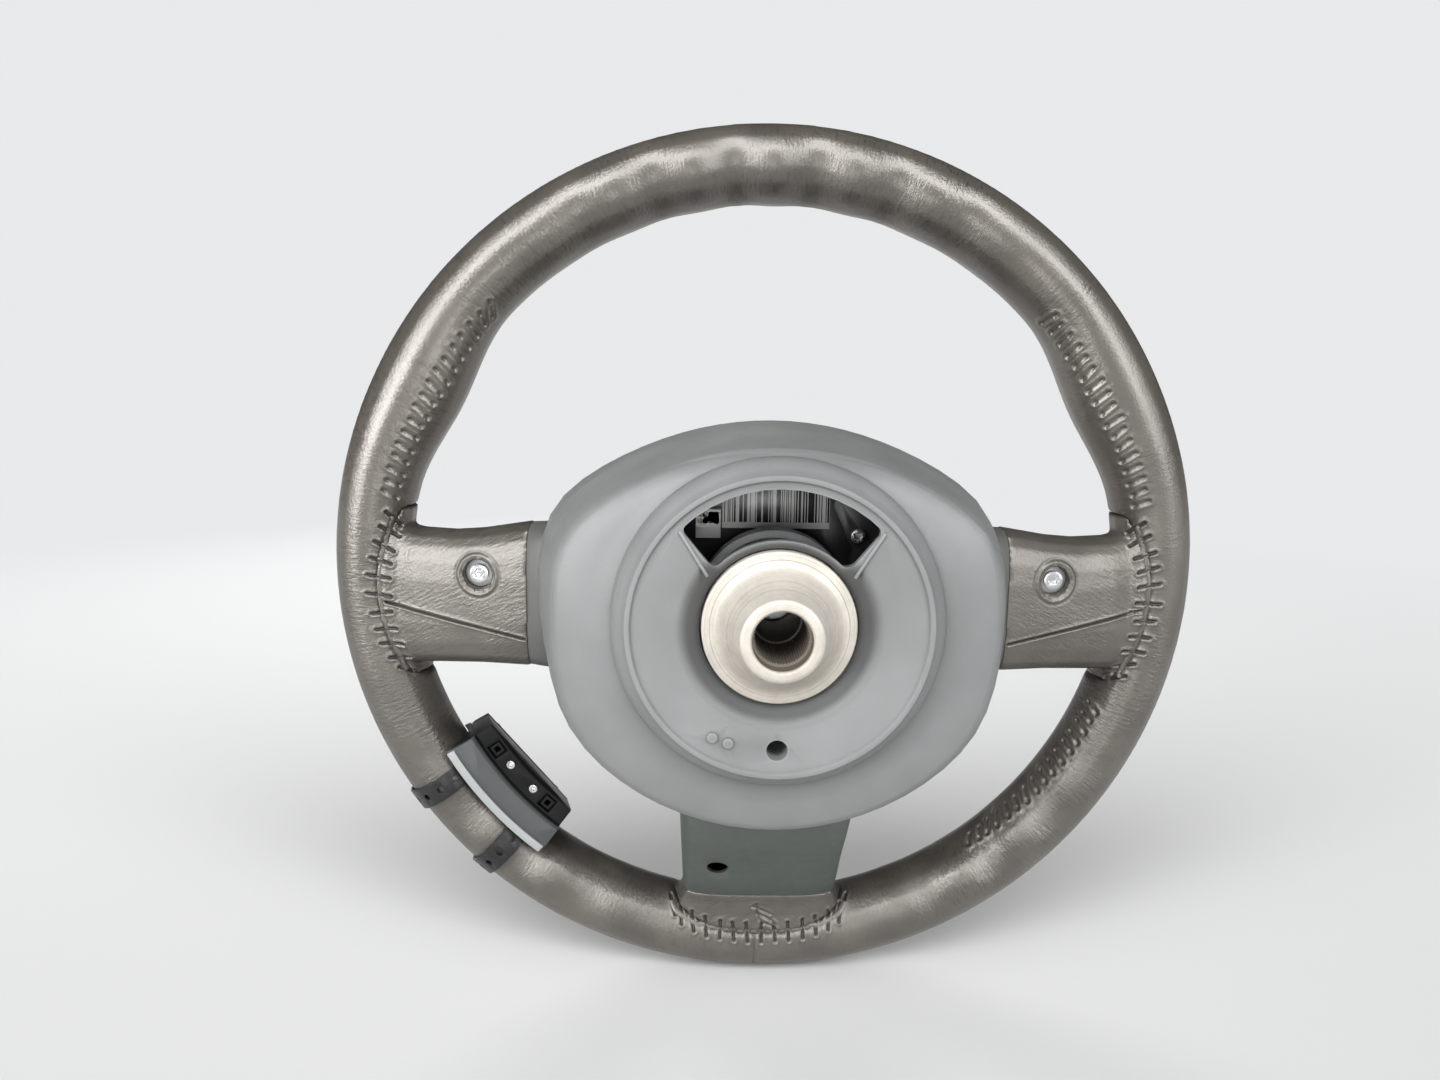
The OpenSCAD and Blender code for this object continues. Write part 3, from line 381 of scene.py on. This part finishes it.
def label_finish():
    label = Finish("striped_label", (0.8, 0.8, 0.78), 0.28)
    parts = label.add("ShaderNodeSeparateXYZ", Vector=label.place)
    bar = label.maths("FLOOR", label.maths("MULTIPLY", parts.outputs[0], 1 / bar_width))
    chance = label.add("ShaderNodeTexWhiteNoise", noise_dimensions="1D", W=bar).outputs["Value"]
    printed = label.maths("GREATER_THAN", chance, 0.42)
    low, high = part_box("module_label")
    above = label.maths("GREATER_THAN", parts.outputs[2], low.z + lower_margin)
    below = label.maths("LESS_THAN", parts.outputs[2], high.z - upper_margin)
    field = label.maths("MULTIPLY", label.maths("MULTIPLY", above, below), printed)
    paper = label.blend(label.noise(60), (0.88, 0.88, 0.86), (0.96, 0.96, 0.94))
    label.set(Base_Color=label.blend(field, paper, (0.015, 0.015, 0.017)),
              Normal=label.bump(label.noise(240), 0.0002, 0.4))
    return label.material


# %% Every finish by the record's slot
finishes = {
    "grip_leather": leather_finish(),
    "thread": thread_finish(),
    "armature_metal": metal_finish("cast_armature_metal", (0.55, 0.56, 0.57), 0.5, grain=1400, depth=0.00015),
    "hub_metal": turned_finish(),
    # The two radii bound the ring of painted shade round the hub.
    "cover_plastic": plastic_finish("cover_plastic", (0.15, 0.154, 0.153), 0.44, shaded_groove=(0.0315, 0.0362)),
    "collar": plastic_finish("collar_plastic", (0.072, 0.073, 0.068), 0.48),
    # Painted shade: the lower spoke's plate is the cover's grey plastic, painted darker and greener.
    "spoke_plastic": plastic_finish("spoke_plastic", (0.058, 0.069, 0.061), 0.5),
    "trim_plastic": plastic_finish("trim_paint", (0.4, 0.41, 0.42), 0.32, grain=5200, depth=0.00003, coat=0.5),
    "pad_plastic": plastic_finish("pad_plastic", (0.022, 0.022, 0.024), 0.55, grain=1300, depth=0.0002),
    "housing_metal": plastic_finish("black_sheet_paint", (0.045, 0.046, 0.05), 0.32, grain=3000, depth=0.00004),
    "bag_fabric": cloth_finish(),
    "inflator_metal": metal_finish("generator_metal", (0.6, 0.6, 0.6), 0.35),
    "plug_plastic": plastic_finish("plug_plastic", (0.62, 0.34, 0.02), 0.4),
    "connector_plastic": plastic_finish("white_plug_plastic", (0.82, 0.82, 0.78), 0.4),
    "label_film": label_finish(),
    "fastener_steel": metal_finish("zinc_steel", (0.72, 0.72, 0.72), 0.28),
    "contact_brass": metal_finish("contact_brass", (0.78, 0.56, 0.24), 0.3),
    "remote_black": plastic_finish("remote_black_plastic", (0.006, 0.006, 0.006), 0.4, grain=3400, gloss=0.18),
    "remote_grey": plastic_finish("remote_grey_paint", (0.05, 0.053, 0.054), 0.34, grain=5200, depth=0.00003),
    "remote_silver": plastic_finish("remote_silver_paint", (0.29, 0.305, 0.3), 0.34, grain=5200, depth=0.00002),
    "key_rubber": plastic_finish("key_rubber", (0.16, 0.165, 0.17), 0.6, grain=2200),
    "strap_rubber": plastic_finish("strap_rubber", (0.013, 0.013, 0.0135), 0.36, grain=1800, gloss=0.35),
}
print(len(finishes), "finishes")

# %% [markdown]
# ## From CAD triangles to a piece with soft edges
#
# A CAD node arrives as loose triangles, each with its own corners, so light breaks at every facet. A copy is
# merged, its small angles are shaded smooth, and its sharp edges get a narrow bevel. No real edge is perfectly
# sharp, and the thin line of light on a bevel is what makes a moulded or machined piece look solid.


# %% Copy, merge and finish a node
def merged_copy(node, name):
    """A new object with a copy of a node's mesh, its corners merged."""
    mesh = cad_nodes[node].data.copy()
    mesh.name = name
    bm = bmesh.new()
    bm.from_mesh(mesh)
    bmesh.ops.remove_doubles(bm, verts=bm.verts, dist=0.002 * MM)
    bmesh.ops.dissolve_degenerate(bm, edges=bm.edges, dist=0.002 * MM)
    bm.to_mesh(mesh)
    bm.free()
    piece = bpy.data.objects.new(name, mesh)
    bpy.context.scene.collection.objects.link(piece)
    return piece


def bake_modifiers(piece):
    """Writes what the modifiers make into the piece's own mesh."""
    graph = bpy.context.evaluated_depsgraph_get()
    made = bpy.data.meshes.new_from_object(piece.evaluated_get(graph))
    piece.modifiers.clear()
    piece.data = made


def smooth_below(piece, angle):
    """Shades a mesh smooth, and keeps edges sharp where two faces meet at more than an angle."""
    mesh = piece.data
    mesh.polygons.foreach_set("use_smooth", [True] * len(mesh.polygons))
    bm = bmesh.new()
    bm.from_mesh(mesh)
    for edge in bm.edges:
        edge.smooth = edge.is_manifold and edge.calc_face_angle(math.pi) < angle
    bm.to_mesh(mesh)
    bm.free()


def dressed(piece, node, finish=None):
    """Gives a piece its finish and its place on the body that carries the node it stands for."""
    slot = slot_of_node[node]
    piece.data.materials.clear()
    piece.data.materials.append(finishes[finish or slot])
    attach(piece, body_of_node[node])
    return piece


def bevelled(node, width=0.35 * MM, angle=32, segments=2, finish=None):
    """A node's copy with small round edges, standing for the node."""
    piece = merged_copy(node, node + "_piece")
    flat = piece.modifiers.new("planes", "DECIMATE")
    flat.decimate_type = "DISSOLVE"
    flat.angle_limit = math.radians(0.6)
    edge = piece.modifiers.new("edges", "BEVEL")
    edge.width = width
    edge.segments = segments
    edge.limit_method = "ANGLE"
    edge.angle_limit = math.radians(angle)
    edge.use_clamp_overlap = True
    edge.miter_outer = "MITER_ARC"
    bake_modifiers(piece)
    smooth_below(piece, math.radians(angle))
    dressed(piece, node, finish)
    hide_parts(node)
    return piece


# %% Dress the pieces whose CAD form is the final one
leather_nodes = ["rim_grip", "left_spoke_leather", "right_spoke_leather", "lower_spoke_leather"]
for node in sorted(cad_nodes):
    if node not in leather_nodes:
        bevelled(node, width=0.3 * MM, finish="collar" if "collar" in node else None)
print("dressed", len(cad_nodes) - len(leather_nodes), "nodes")

# %% [markdown]
# ## The horn springs
#
# The three horn springs stand between the hub's plate and the airbag's can. When the pad is pressed, the can
# comes closer, and a rigid spring would run through it. Here each spring's piece only gets a mesh of its own; no
# squash is made.

# %% Give the horn springs their own meshes
for node in ("left_horn_spring", "right_horn_spring", "lower_horn_spring"):
    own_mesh(bpy.data.objects[node + "_piece"])

# %% [markdown]
# ## The leather's shape
#
# Leather over foam has no facets and no sharp corners. Each leather solid is copied and remeshed to an even net
# of small squares, about a millimetre apart, then relaxed. The remesh rounds the panels' edges where they meet,
# which is just what leather does as it is pulled down into a seam.


# %% Remesh and relax the leather solids
def leather_form(node, net, rounds):
    piece = merged_copy(node, node + "_piece")
    remesh = piece.modifiers.new("net", "REMESH")
    remesh.mode = "VOXEL"
    remesh.voxel_size = net
    relax = piece.modifiers.new("relax", "SMOOTH")
    relax.factor = 0.5
    relax.iterations = rounds
    bake_modifiers(piece)
    dressed(piece, node)
    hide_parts(node)
    return piece


rim_leather = leather_form("rim_grip", 1.82 * MM, 5)
left_leather = leather_form("left_spoke_leather", 1.0 * MM, 4)
right_leather = leather_form("right_spoke_leather", 1.0 * MM, 4)
lower_leather = leather_form("lower_spoke_leather", 1.0 * MM, 4)
leathers = [rim_leather, left_leather, right_leather, lower_leather]

# %% [markdown]
# ## Finding places on the leather
#
# Seams are described by simple numbers, such as an angle about the wheel and an angle round the grip's section.
# To put them on the leather, a ray is shot at it from outside. The place where it lands is kept together with the
# direction that the leather faces there, as one `Spot`. The tree of triangles that answers such questions quickly
# is built once, from all four leathers together.
#
# A ray that is shot right at a seam falls into the gap between two panels. So `over_gap` asks eight places round
# it and takes the middle of those that landed high, which is where the thread bridges the gap.

# %% A tree of the leather's faces, and three ways to ask it
Spot = namedtuple("Spot", "place facing")


def face_tree(pieces):
    points, faces = [], []
    for piece in pieces:
        first = len(points)
        points += [v.co.copy() for v in piece.data.vertices]
        faces += [[first + i for i in p.vertices] for p in piece.data.polygons]
    return BVHTree.FromPolygons(points, faces)


skin = face_tree(leathers)


def shot(start, way, reach=1.0):
    place, facing, *_ = skin.ray_cast(start, way, reach)
    return None if place is None else Spot(place, facing)


def landed(spots):
    """Keeps the spots where a ray met the leather."""
    return [spot for spot in spots if spot is not None]


def on_grip(angle, turn):
    """Spot at an angle up from +X about the wheel, and a turn round the section from its outer edge."""
    a, t = math.radians(angle), math.radians(turn)
    middle = Vector((ring_radius * math.cos(a), rim_plane, ring_radius * math.sin(a)))
    out = Vector((math.cos(a) * math.cos(t), math.sin(t), math.sin(a) * math.cos(t)))
    return shot(middle + 32 * MM * out, -out)


def on_back(x, z):
    """Spot straight behind a place on the spokes, where x and z are metres from the axis."""
    return shot(Vector((x, 0, z)), Vector((0, -1, 0)))


def over_gap(x, z, reach=1.7 * MM):
    """Spot over the gap between two panels, from the higher half of eight spots round it."""
    turns = [math.pi * k / 4 for k in range(8)]
    ring = landed(on_back(x + reach * math.cos(t), z + reach * math.sin(t)) for t in turns)
    if len(ring) < 4:
        return None
    high = sorted(ring, key=lambda spot: spot.place.y)[len(ring) // 2:]
    depth = sum(spot.place.y for spot in high) / len(high)
    facing = sum((spot.facing for spot in high), Vector()).normalized()
    return Spot(Vector((x, depth, z)), facing)


# %% [markdown]
# ## Where the seams run
#
# Each side spoke's leather meets the grip in a seam that bows outwards, and the lower one in a wide U. From the
# upper end of each side seam the grip's own closing seam runs on along the inner side of the thumb rest, and one
# more runs between the left and the lower spoke. Every seam becomes a dense list of spots on the surface.

# %% Guides of the seams
seam_bow = 7.8 * MM
seam_middle = -7 * MM
seam_half = 31 * MM


def side_seam(side):
    heights = np.linspace(24.5 * MM, -45 * MM, 60)
    return landed(over_gap(side * (seam_x - seam_bow * ((z - seam_middle) / seam_half) ** 2), z) for z in heights)


def lower_seam():
    """A wide U: straight sides that turn into an ellipse's lower half."""
    half, top, foot = 39 * MM, -147 * MM, -seam_x
    return landed(over_gap(-half * math.cos(t), top + (foot - top) * math.sin(t) ** 0.85)
                  for t in np.linspace(0.02, math.pi - 0.02, 70))


def closing_seam(first, last, turn_first, turn_last):
    return landed(on_grip(first + (last - first) * k, turn_first + (turn_last - turn_first) * k)
                  for k in np.linspace(0, 1, 60))


side_seams = {1: side_seam(1), -1: side_seam(-1)}
closing_seams = [closing_seam(11, 45, 118, 132), closing_seam(169, 135, 118, 134),
                 closing_seam(201, 233, 140, 158)]
foot_seam = lower_seam()

# %% [markdown]
# ## Stitches as short lines across a seam
#
# A stitch crosses its seam. Its line is found by walking along the seam in uneven steps, turning away from the
# seam's direction in the plane of the surface, and letting a few points of that short line fall onto the leather.
# The middle point would fall into the gap, so it is laid between its two neighbours instead. Real stitches are
# never equal: their steps, length and lean vary by sines that don't repeat in step with them. Towards the ends of
# a side seam they crowd, and at its lower end they lean over. Those of the lower U all run up the picture.


# %% Stitches along a guide
step_rate, length_rate = 37.7, 23.1


def settled(spot, way, reach):
    """The spot on the leather at a reach from another one, along its surface."""
    start = spot.place + way * reach + spot.facing * 5 * MM
    return shot(start, -spot.facing, 8 * MM) or Spot(spot.place + way * reach, spot.facing)


def stitches_along(guide, pitch, length, lean=0.0, crowd=0.0, heading=None):
    steps = [0.0]
    for a, b in zip(guide, guide[1:]):
        steps.append(steps[-1] + (b.place - a.place).length)
    lines = []
    place = pitch * 0.4
    while place < steps[-1]:
        k = min(max(int(np.searchsorted(steps, place)) - 1, 0), len(guide) - 2)
        share = (place - steps[k]) / max(steps[k + 1] - steps[k], 1e-9)
        first, second = guide[k], guide[k + 1]
        middle = Spot(first.place.lerp(second.place, share), first.facing.lerp(second.facing, share).normalized())
        ahead = (guide[min(k + 3, len(guide) - 1)].place - guide[max(k - 2, 0)].place).normalized()
        across = middle.facing.cross(ahead) if heading is None else heading
        across = (across - middle.facing * across.dot(middle.facing)).normalized()
        end = 2 * place / steps[-1] - 1
        crowded = end * end * (1 if end > 0 else 0.1)
        wobble, other = math.sin(step_rate * place / pitch), math.sin(length_rate * place / pitch + 1)
        tilt = lean + crowd * crowded + 0.1 * wobble
        way = across * math.cos(tilt) + ahead * math.sin(tilt)
        reach = length * (0.5 + 0.05 * wobble + 0.04 * other)
        line = [settled(middle, way, reach * u) for u in (-1, -0.72, -0.4, 0.4, 0.72, 1)]
        between = Spot(line[2].place.lerp(line[3].place, 0.5), middle.facing)
        lines.append(line[:3] + [between] + line[3:])
        place += pitch * (1 - 0.26 * abs(crowd) * end * end + 0.07 * other)
    return lines


side_stitches = {side: stitches_along(seam, 7.4 * MM, 8.8 * MM, lean=0.1 * side, crowd=0.85 * side)
                 for side, seam in side_seams.items()}
foot_stitches = stitches_along(foot_seam, 6.2 * MM, 8.2 * MM, heading=Vector((0, 0, 1)))
closing_stitches = [line for seam, lean in zip(closing_seams, (0.25, -0.25, 0.3))
                    for line in stitches_along(seam, 5.6 * MM, 6.6 * MM, lean, crowd=0.3)]
print(sum(len(v) for v in side_stitches.values()), "side,", len(foot_stitches), "lower and",
      len(closing_stitches), "closing stitches")

# %% [markdown]
# ## A finer net where the leather is sewn
#
# A dent one millimetre wide needs a net several times finer than that. Making the whole grip so fine would cost
# a million faces, so only the faces near a line are split. The grip's are split twice, the second time in a
# narrower strip.


# %% Split the faces near lines
def refine(piece, lines, *reaches):
    spots = np.array([spot.place[:] for line in lines for spot in line])
    bm = bmesh.new()
    bm.from_mesh(piece.data)
    for reach in reaches:
        centres = np.array([f.calc_center_median()[:] for f in bm.faces])
        low, high = spots.min(axis=0) - reach, spots.max(axis=0) + reach
        inside = np.nonzero(((centres > low) & (centres < high)).all(axis=1))[0]
        bm.faces.ensure_lookup_table()
        chosen = [bm.faces[i] for i in inside
                  if (np.abs(spots - centres[i]).max(axis=1) < reach).any()]
        edges = list({e for f in chosen for e in f.edges})
        bmesh.ops.subdivide_edges(bm, edges=edges, cuts=1, use_grid_fill=True)
    bm.to_mesh(piece.data)
    bm.free()


# %% [markdown]
# ## Pressing lines into the leather
#
# Each vertex looks for its distance to the nearest line. Close to the line it sinks along its normal, by a bell
# curve of that distance, and a little further out it rises into a lip. The same bell curve, times a share, is
# stored as a point attribute, which the leather reads to paint shade into the dent.


# %% Press lines into a mesh
def gaps_to(line, place):
    """Distances from places to a line of points."""
    gap = np.full(len(place), 1.0)
    for a, b in zip(line, line[1:]):
        along = b - a
        share = np.clip((place - a) @ along / max(along @ along, 1e-12), 0, 1)
        gap = np.minimum(gap, np.linalg.norm(place - a - share[:, None] * along, axis=1))
    return gap


def press(piece, lines, width, depth, lip=0.0, dark=1.0):
    mesh = piece.data
    place = np.empty(len(mesh.vertices) * 3)
    mesh.vertices.foreach_get("co", place)
    place = place.reshape(-1, 3)
    normal = np.empty(len(mesh.vertices) * 3)
    mesh.vertex_normals.foreach_get("vector", normal)
    normal = normal.reshape(-1, 3)
    fall, rise = np.zeros(len(place)), np.zeros(len(place))
    for line in lines:
        points = np.array([spot.place[:] for spot in line])
        middle = (points.min(axis=0) + points.max(axis=0)) / 2
        reach = np.abs(points - middle).max() + 4 * width
        near = np.nonzero(np.abs(place - middle).max(axis=1) < reach)[0]
        gap = gaps_to(points, place[near])
        fall[near] = np.maximum(fall[near], np.exp(-((gap / width) ** 2)))
        rise[near] = np.maximum(rise[near], np.exp(-(((gap - 2.1 * width) / width) ** 2)))
    place += normal * (lip * rise * (1 - fall) - depth * fall)[:, None]
    mesh.vertices.foreach_set("co", place.ravel())
    # The bell curve, times dark, is stored for the leather to paint shade into the dent.
    dent_shade = mesh.attributes.get("dent_shade") or mesh.attributes.new("dent_shade", "FLOAT", "POINT")
    before = np.empty(len(place))
    dent_shade.data.foreach_get("value", before)
    dent_shade.data.foreach_set("value", np.maximum(before, fall * dark))
    mesh.update()


# %% Lines that aren't stitches: creases, the ring round a screw, and the butt joint under the lower spoke
def spoke_crease(side):
    return landed(on_back(side * (collar_x + 1.5 * MM + (seam_x - collar_x - 4 * MM) * k), (-24 + 11 * k) * MM)
                  for k in np.linspace(0, 1, 40))


def screw_ring(side, radius):
    middle_x = (screw_low.x + screw_high.x) / 2
    middle_z = (screw_low.z + screw_high.z) / 2
    return landed(on_back(side * middle_x + radius * math.cos(t), middle_z + radius * math.sin(t))
                  for t in np.linspace(0, 2 * math.pi, 49))


butt_joint = landed(on_grip(-89.5, turn) for turn in np.linspace(105, -60, 50))
knot = [landed([on_back((3 - 2.2 * k) * MM, (-149.5 - 4 * k) * MM),
                on_back((-1 - 2.2 * k) * MM, (-151 - 4 * k) * MM),
                on_back((-5 - 1.5 * k) * MM, (-153.5 - 4 * k) * MM)]) for k in (0, 1, 2)]
knot.append(landed([on_back(1 * MM, -148 * MM), on_back(0.5 * MM, -153 * MM), on_back(-1.5 * MM, -158 * MM)]))

# %% Sew the four leathers
sewn = {
    left_leather: side_stitches[-1],
    right_leather: side_stitches[1],
    lower_leather: foot_stitches + knot,
    rim_leather: side_stitches[-1] + side_stitches[1] + foot_stitches + closing_stitches,
}
for piece, lines in sewn.items():
    refine(piece, lines, 3 * MM)
refine(rim_leather, sewn[rim_leather], 1.9 * MM)
# Each press below also paints shade into its dent, by its dark share, which is 1 where none is given.
for side, piece in ((-1, left_leather), (1, right_leather)):
    crease, bead, shaded_groove = spoke_crease(side), screw_ring(side, 8.1 * MM), screw_ring(side, 9.6 * MM)
    refine(piece, [crease, bead, shaded_groove], 1.6 * MM, 1.6 * MM)
    press(piece, [crease], 0.5 * MM, 1.7 * MM, lip=0.25 * MM)
    press(piece, [bead], 0.7 * MM, -0.35 * MM, dark=0.0)
    press(piece, [shaded_groove], 0.6 * MM, 0.2 * MM, dark=0.35)
refine(rim_leather, [butt_joint], 1.8 * MM)
press(rim_leather, [butt_joint], 0.5 * MM, 0.7 * MM, lip=0.12 * MM)
press(lower_leather, knot, 0.55 * MM, 0.75 * MM, lip=0.45 * MM, dark=0.8)
for piece in leathers:
    near_seams = [side_seams[1], side_seams[-1], foot_seam]
    press(piece, near_seams, 1.2 * MM, 0.1 * MM, lip=0.15 * MM, dark=0.1)
    press(piece, side_stitches[1] + side_stitches[-1] + foot_stitches, 0.62 * MM, 0.95 * MM, lip=0.4 * MM)
press(rim_leather, closing_stitches, 0.85 * MM, 0.22 * MM, lip=0.34 * MM, dark=0.05)
press(rim_leather, [line[:2] for line in closing_stitches] + [line[-2:] for line in closing_stitches],
      0.55 * MM, 0.5 * MM, dark=0.8)

# %% [markdown]
# ## Thread, and the leather's turned-in edge
#
# A thread lies sunk in each dent. All threads of a seam are one curve with many splines, turned into a mesh. The
# same tool lays a thicker cord of leather just under each seam: it is the turned-in edge that closes the gap
# between two panels, so the seam reads as a fold and not as a slot.


# %% Cords along lines
def cords(name, lines, radius, sunk, node, finish):
    curve = bpy.data.curves.new(name, "CURVE")
    curve.dimensions = "3D"
    curve.bevel_depth = radius
    curve.bevel_resolution = 1
    curve.use_fill_caps = True
    for line in lines:
        spline = curve.splines.new("POLY")
        spline.points.add(len(line) - 1)
        for point, spot in zip(spline.points, line):
            point.co = (*(spot.place - spot.facing * sunk), 1)
    holder = bpy.data.objects.new(name, curve)
    bpy.context.scene.collection.objects.link(holder)
    mesh = bpy.data.meshes.new_from_object(holder.evaluated_get(bpy.context.evaluated_depsgraph_get()))
    bpy.data.objects.remove(holder)
    piece = bpy.data.objects.new(name, mesh)
    bpy.context.scene.collection.objects.link(piece)
    mesh.polygons.foreach_set("use_smooth", [True] * len(mesh.polygons))
    return dressed(piece, node, finish)


thread_radius, thread_sunk = 0.33 * MM, 0.26 * MM
for where, lines in (("left", side_stitches[-1]), ("right", side_stitches[1]), ("lower", foot_stitches)):
    cords(where + "_seam_threads", lines, thread_radius, thread_sunk, where + "_spoke_leather", "thread")
fold_radius, fold_sunk = 2.4 * MM, 2.42 * MM
cords("seam_folds", [seam[2:-2] for seam in (side_seams[1], side_seams[-1], foot_seam)],
      fold_radius, fold_sunk, "rim_grip", "grip_leather")

# %% [markdown]
# ## Which way the folds lie, and where hands have polished the leather
#
# The last attributes are worked out from each vertex's place. On the grip, "arc" is the way round the wheel and
# "girth" the way round the section. On the spokes both are measured on a slant, since their leather was pulled
# askew over the frame. "hand" is high on the thumb rests and along the grip's upper half, and "swell" where the
# fingers lie.


# %% Attributes along and round the grip
girth_start = math.radians(145)
pulled_slant = math.radians(28)
thumb_middle, thumb_reach = 60, 16


def write_values(mesh, name, values):
    layer = mesh.attributes.get(name) or mesh.attributes.new(name, "FLOAT", "POINT")
    layer.data.foreach_set("value", np.ascontiguousarray(values, dtype=np.float32))


def hill(angle, middle, reach):
    """One at the middle, and a smooth fall to nothing at a reach from it, in degrees."""
    share = np.clip(np.abs((angle - middle + 180) % 360 - 180) / reach, 0, 1)
    return 1 - share * share * (3 - 2 * share)


for piece in leathers:
    mesh = piece.data
    mesh.polygons.foreach_set("use_smooth", [True] * len(mesh.polygons))
    place = np.empty(len(mesh.vertices) * 3)
    mesh.vertices.foreach_get("co", place)
    x, y, z = place.reshape(-1, 3).T
    angle = np.degrees(np.arctan2(z, x))
    section = np.arctan2(y - rim_plane, np.hypot(x, z) - ring_radius)
    if piece is rim_leather:
        below = (angle + 90) % 360
        write_values(mesh, "arc", np.radians(below) * ring_radius)
        write_values(mesh, "girth", ((section + girth_start) % (2 * math.pi)) * grip_mean_radius)
    else:
        write_values(mesh, "arc", np.abs(x) * math.sin(pulled_slant) + z * math.cos(pulled_slant))
        write_values(mesh, "girth", np.abs(x) * math.cos(pulled_slant) - z * math.sin(pulled_slant))
    thumbs = np.exp(-((np.abs(np.abs(angle - 90) - thumb_middle) / thumb_reach) ** 2))
    upper = np.clip((z + 0.02) / 0.1, 0, 1) * 0.6
    write_values(mesh, "hand", np.clip(np.maximum(thumbs, upper), 0, 1))
    reach = np.maximum(hill(angle, 90, 52), 0.8 * np.maximum(hill(angle, -52, 30), hill(angle, -128, 30)))
    write_values(mesh, "swell", reach * np.maximum(0, np.cos(section - math.radians(100))))
    print(piece.name, len(mesh.polygons), "faces")

# %% [markdown]
# ## Sky, lamps, floor and backdrop
#
# The light is that of an overcast sky round a photographer who bends over the wheel and hides its middle. What is
# left is a ring of sky, about 50 degrees away from the wheel's axis, and brightest above and to the left. The
# world's shader paints that ring by the direction of each ray: first by its y, then by its x and z. A ring lights
# the outer half of the grip all the way round, and leaves its inner flank dark. For the camera alone the world is
# an even pale backdrop. A few lamps help where the ring doesn't reach: the left side, the window's inside, and
# the driver's side for those who walk round the wheel. That last one isn't seen in reflections. The floor fades
# into the backdrop's own light further out, so no horizon is left.

# %% Lamps
backdrop = (0.9, 0.91, 0.92)
backdrop_level = 0.9


def lamp(name, place, size, power, colour=(1, 1, 1), shines=True):
    data = bpy.data.lights.new(name, "AREA")
    data.shape = "DISK"
    data.size = size
    data.energy = power
    data.color = colour
    obj = bpy.data.objects.new(name, data)
    bpy.context.scene.collection.objects.link(obj)
    obj.visible_camera = False
    obj.visible_glossy = shines
    aim = (Vector((0, rim_plane / 2, 0)) - Vector(place)).to_track_quat("-Z", "Y")
    obj.matrix_world = Matrix.LocRotScale(Vector(place), aim, None)


lamp("sky_left", (1.25, 0.7, 0.05), 0.6, 5, (1.0, 0.99, 0.97))
lamp("sky_behind", (0.1, 1.6, -0.1), 0.5, 6)
lamp("front", (0.4, -1.4, 0.5), 0.9, 13, shines=False)

# %% World
world = bpy.data.worlds.new("studio")
bpy.context.scene.world = world
world.use_nodes = True
sky = world.node_tree
background = sky.nodes["Background"]
background.inputs["Color"].default_value = (*backdrop, 1)


def world_node(kind, inputs, **settings):
    node = sky.nodes.new(kind)
    for key, value in settings.items():
        setattr(node, key, value)
    for key, value in inputs.items():
        if isinstance(value, bpy.types.NodeSocket):
            sky.links.new(value, node.inputs[key])
        else:
            node.inputs[key].default_value = value
    return node.outputs[0]


def world_range(value, low, high, new_low, new_high):
    return world_node("ShaderNodeMapRange", {"Value": value, "From Min": low, "From Max": high, "To Min": new_low,
                                             "To Max": new_high}, interpolation_type="SMOOTHSTEP")


way = sky.nodes.new("ShaderNodeTexCoord").outputs["Generated"]
split = sky.nodes.new("ShaderNodeSeparateXYZ")
sky.links.new(way, split.inputs[0])
rising = world_range(split.outputs[1], 0.36, 0.6, 0, 1)
falling = world_range(split.outputs[1], 0.66, 0.88, 1, 0.06)
ring = world_node("ShaderNodeMath", {0: rising, 1: falling}, operation="MULTIPLY")
sides = world_node("ShaderNodeMath", {0: split.outputs[0]}, operation="ABSOLUTE")
both = world_node("ShaderNodeMath", {0: sides, 1: 0.4, 2: 0.28}, operation="MULTIPLY_ADD")
left = world_node("ShaderNodeMath", {0: split.outputs[0], 1: 0.14, 2: both}, operation="MULTIPLY_ADD")
bright = world_node("ShaderNodeMath", {0: split.outputs[2], 1: 0.45, 2: left}, operation="MULTIPLY_ADD")
shaped = world_node("ShaderNodeMath", {0: ring, 1: bright}, operation="MULTIPLY")
level = world_node("ShaderNodeMath", {0: shaped, 1: 14.4, 2: 0.05}, operation="MULTIPLY_ADD")
rays = sky.nodes.new("ShaderNodeLightPath")
shown = world_node("ShaderNodeMix", {0: rays.outputs["Is Camera Ray"], 2: level, 3: backdrop_level})
sky.links.new(shown, background.inputs["Strength"])

# %% Floor
floor_radius = 9
floor_colour = (0.47, 0.47, 0.465)
bm = bmesh.new()
bmesh.ops.create_circle(bm, cap_ends=True, segments=64, radius=floor_radius)
bmesh.ops.translate(bm, verts=bm.verts, vec=(0, 0, grip_low.z - 0.4 * MM))
floor_mesh = bpy.data.meshes.new("floor")
bm.to_mesh(floor_mesh)
bm.free()
floor = bpy.data.objects.new("floor", floor_mesh)
bpy.context.scene.collection.objects.link(floor)
floor_finish = Finish("pale_floor", floor_colour, 0.8)
away = floor_finish.add("ShaderNodeVectorMath", operation="LENGTH", Vector=floor_finish.place).outputs["Value"]
far = floor_finish.ranged(away, 0.4, 1.5, 0, 1)
fade = floor_finish.blend(far, floor_colour, (0, 0, 0))
floor_finish.set(Base_Color=fade, Emission_Strength=floor_finish.maths("MULTIPLY", far, backdrop_level),
                 Specular_IOR_Level=0.0)
floor_finish.set(Emission_Color=(*backdrop, 1))
floor_mesh.materials.append(floor_finish.material)

# %% View settings
bpy.context.scene.view_settings.view_transform = "Standard"
bpy.context.view_layer.update()
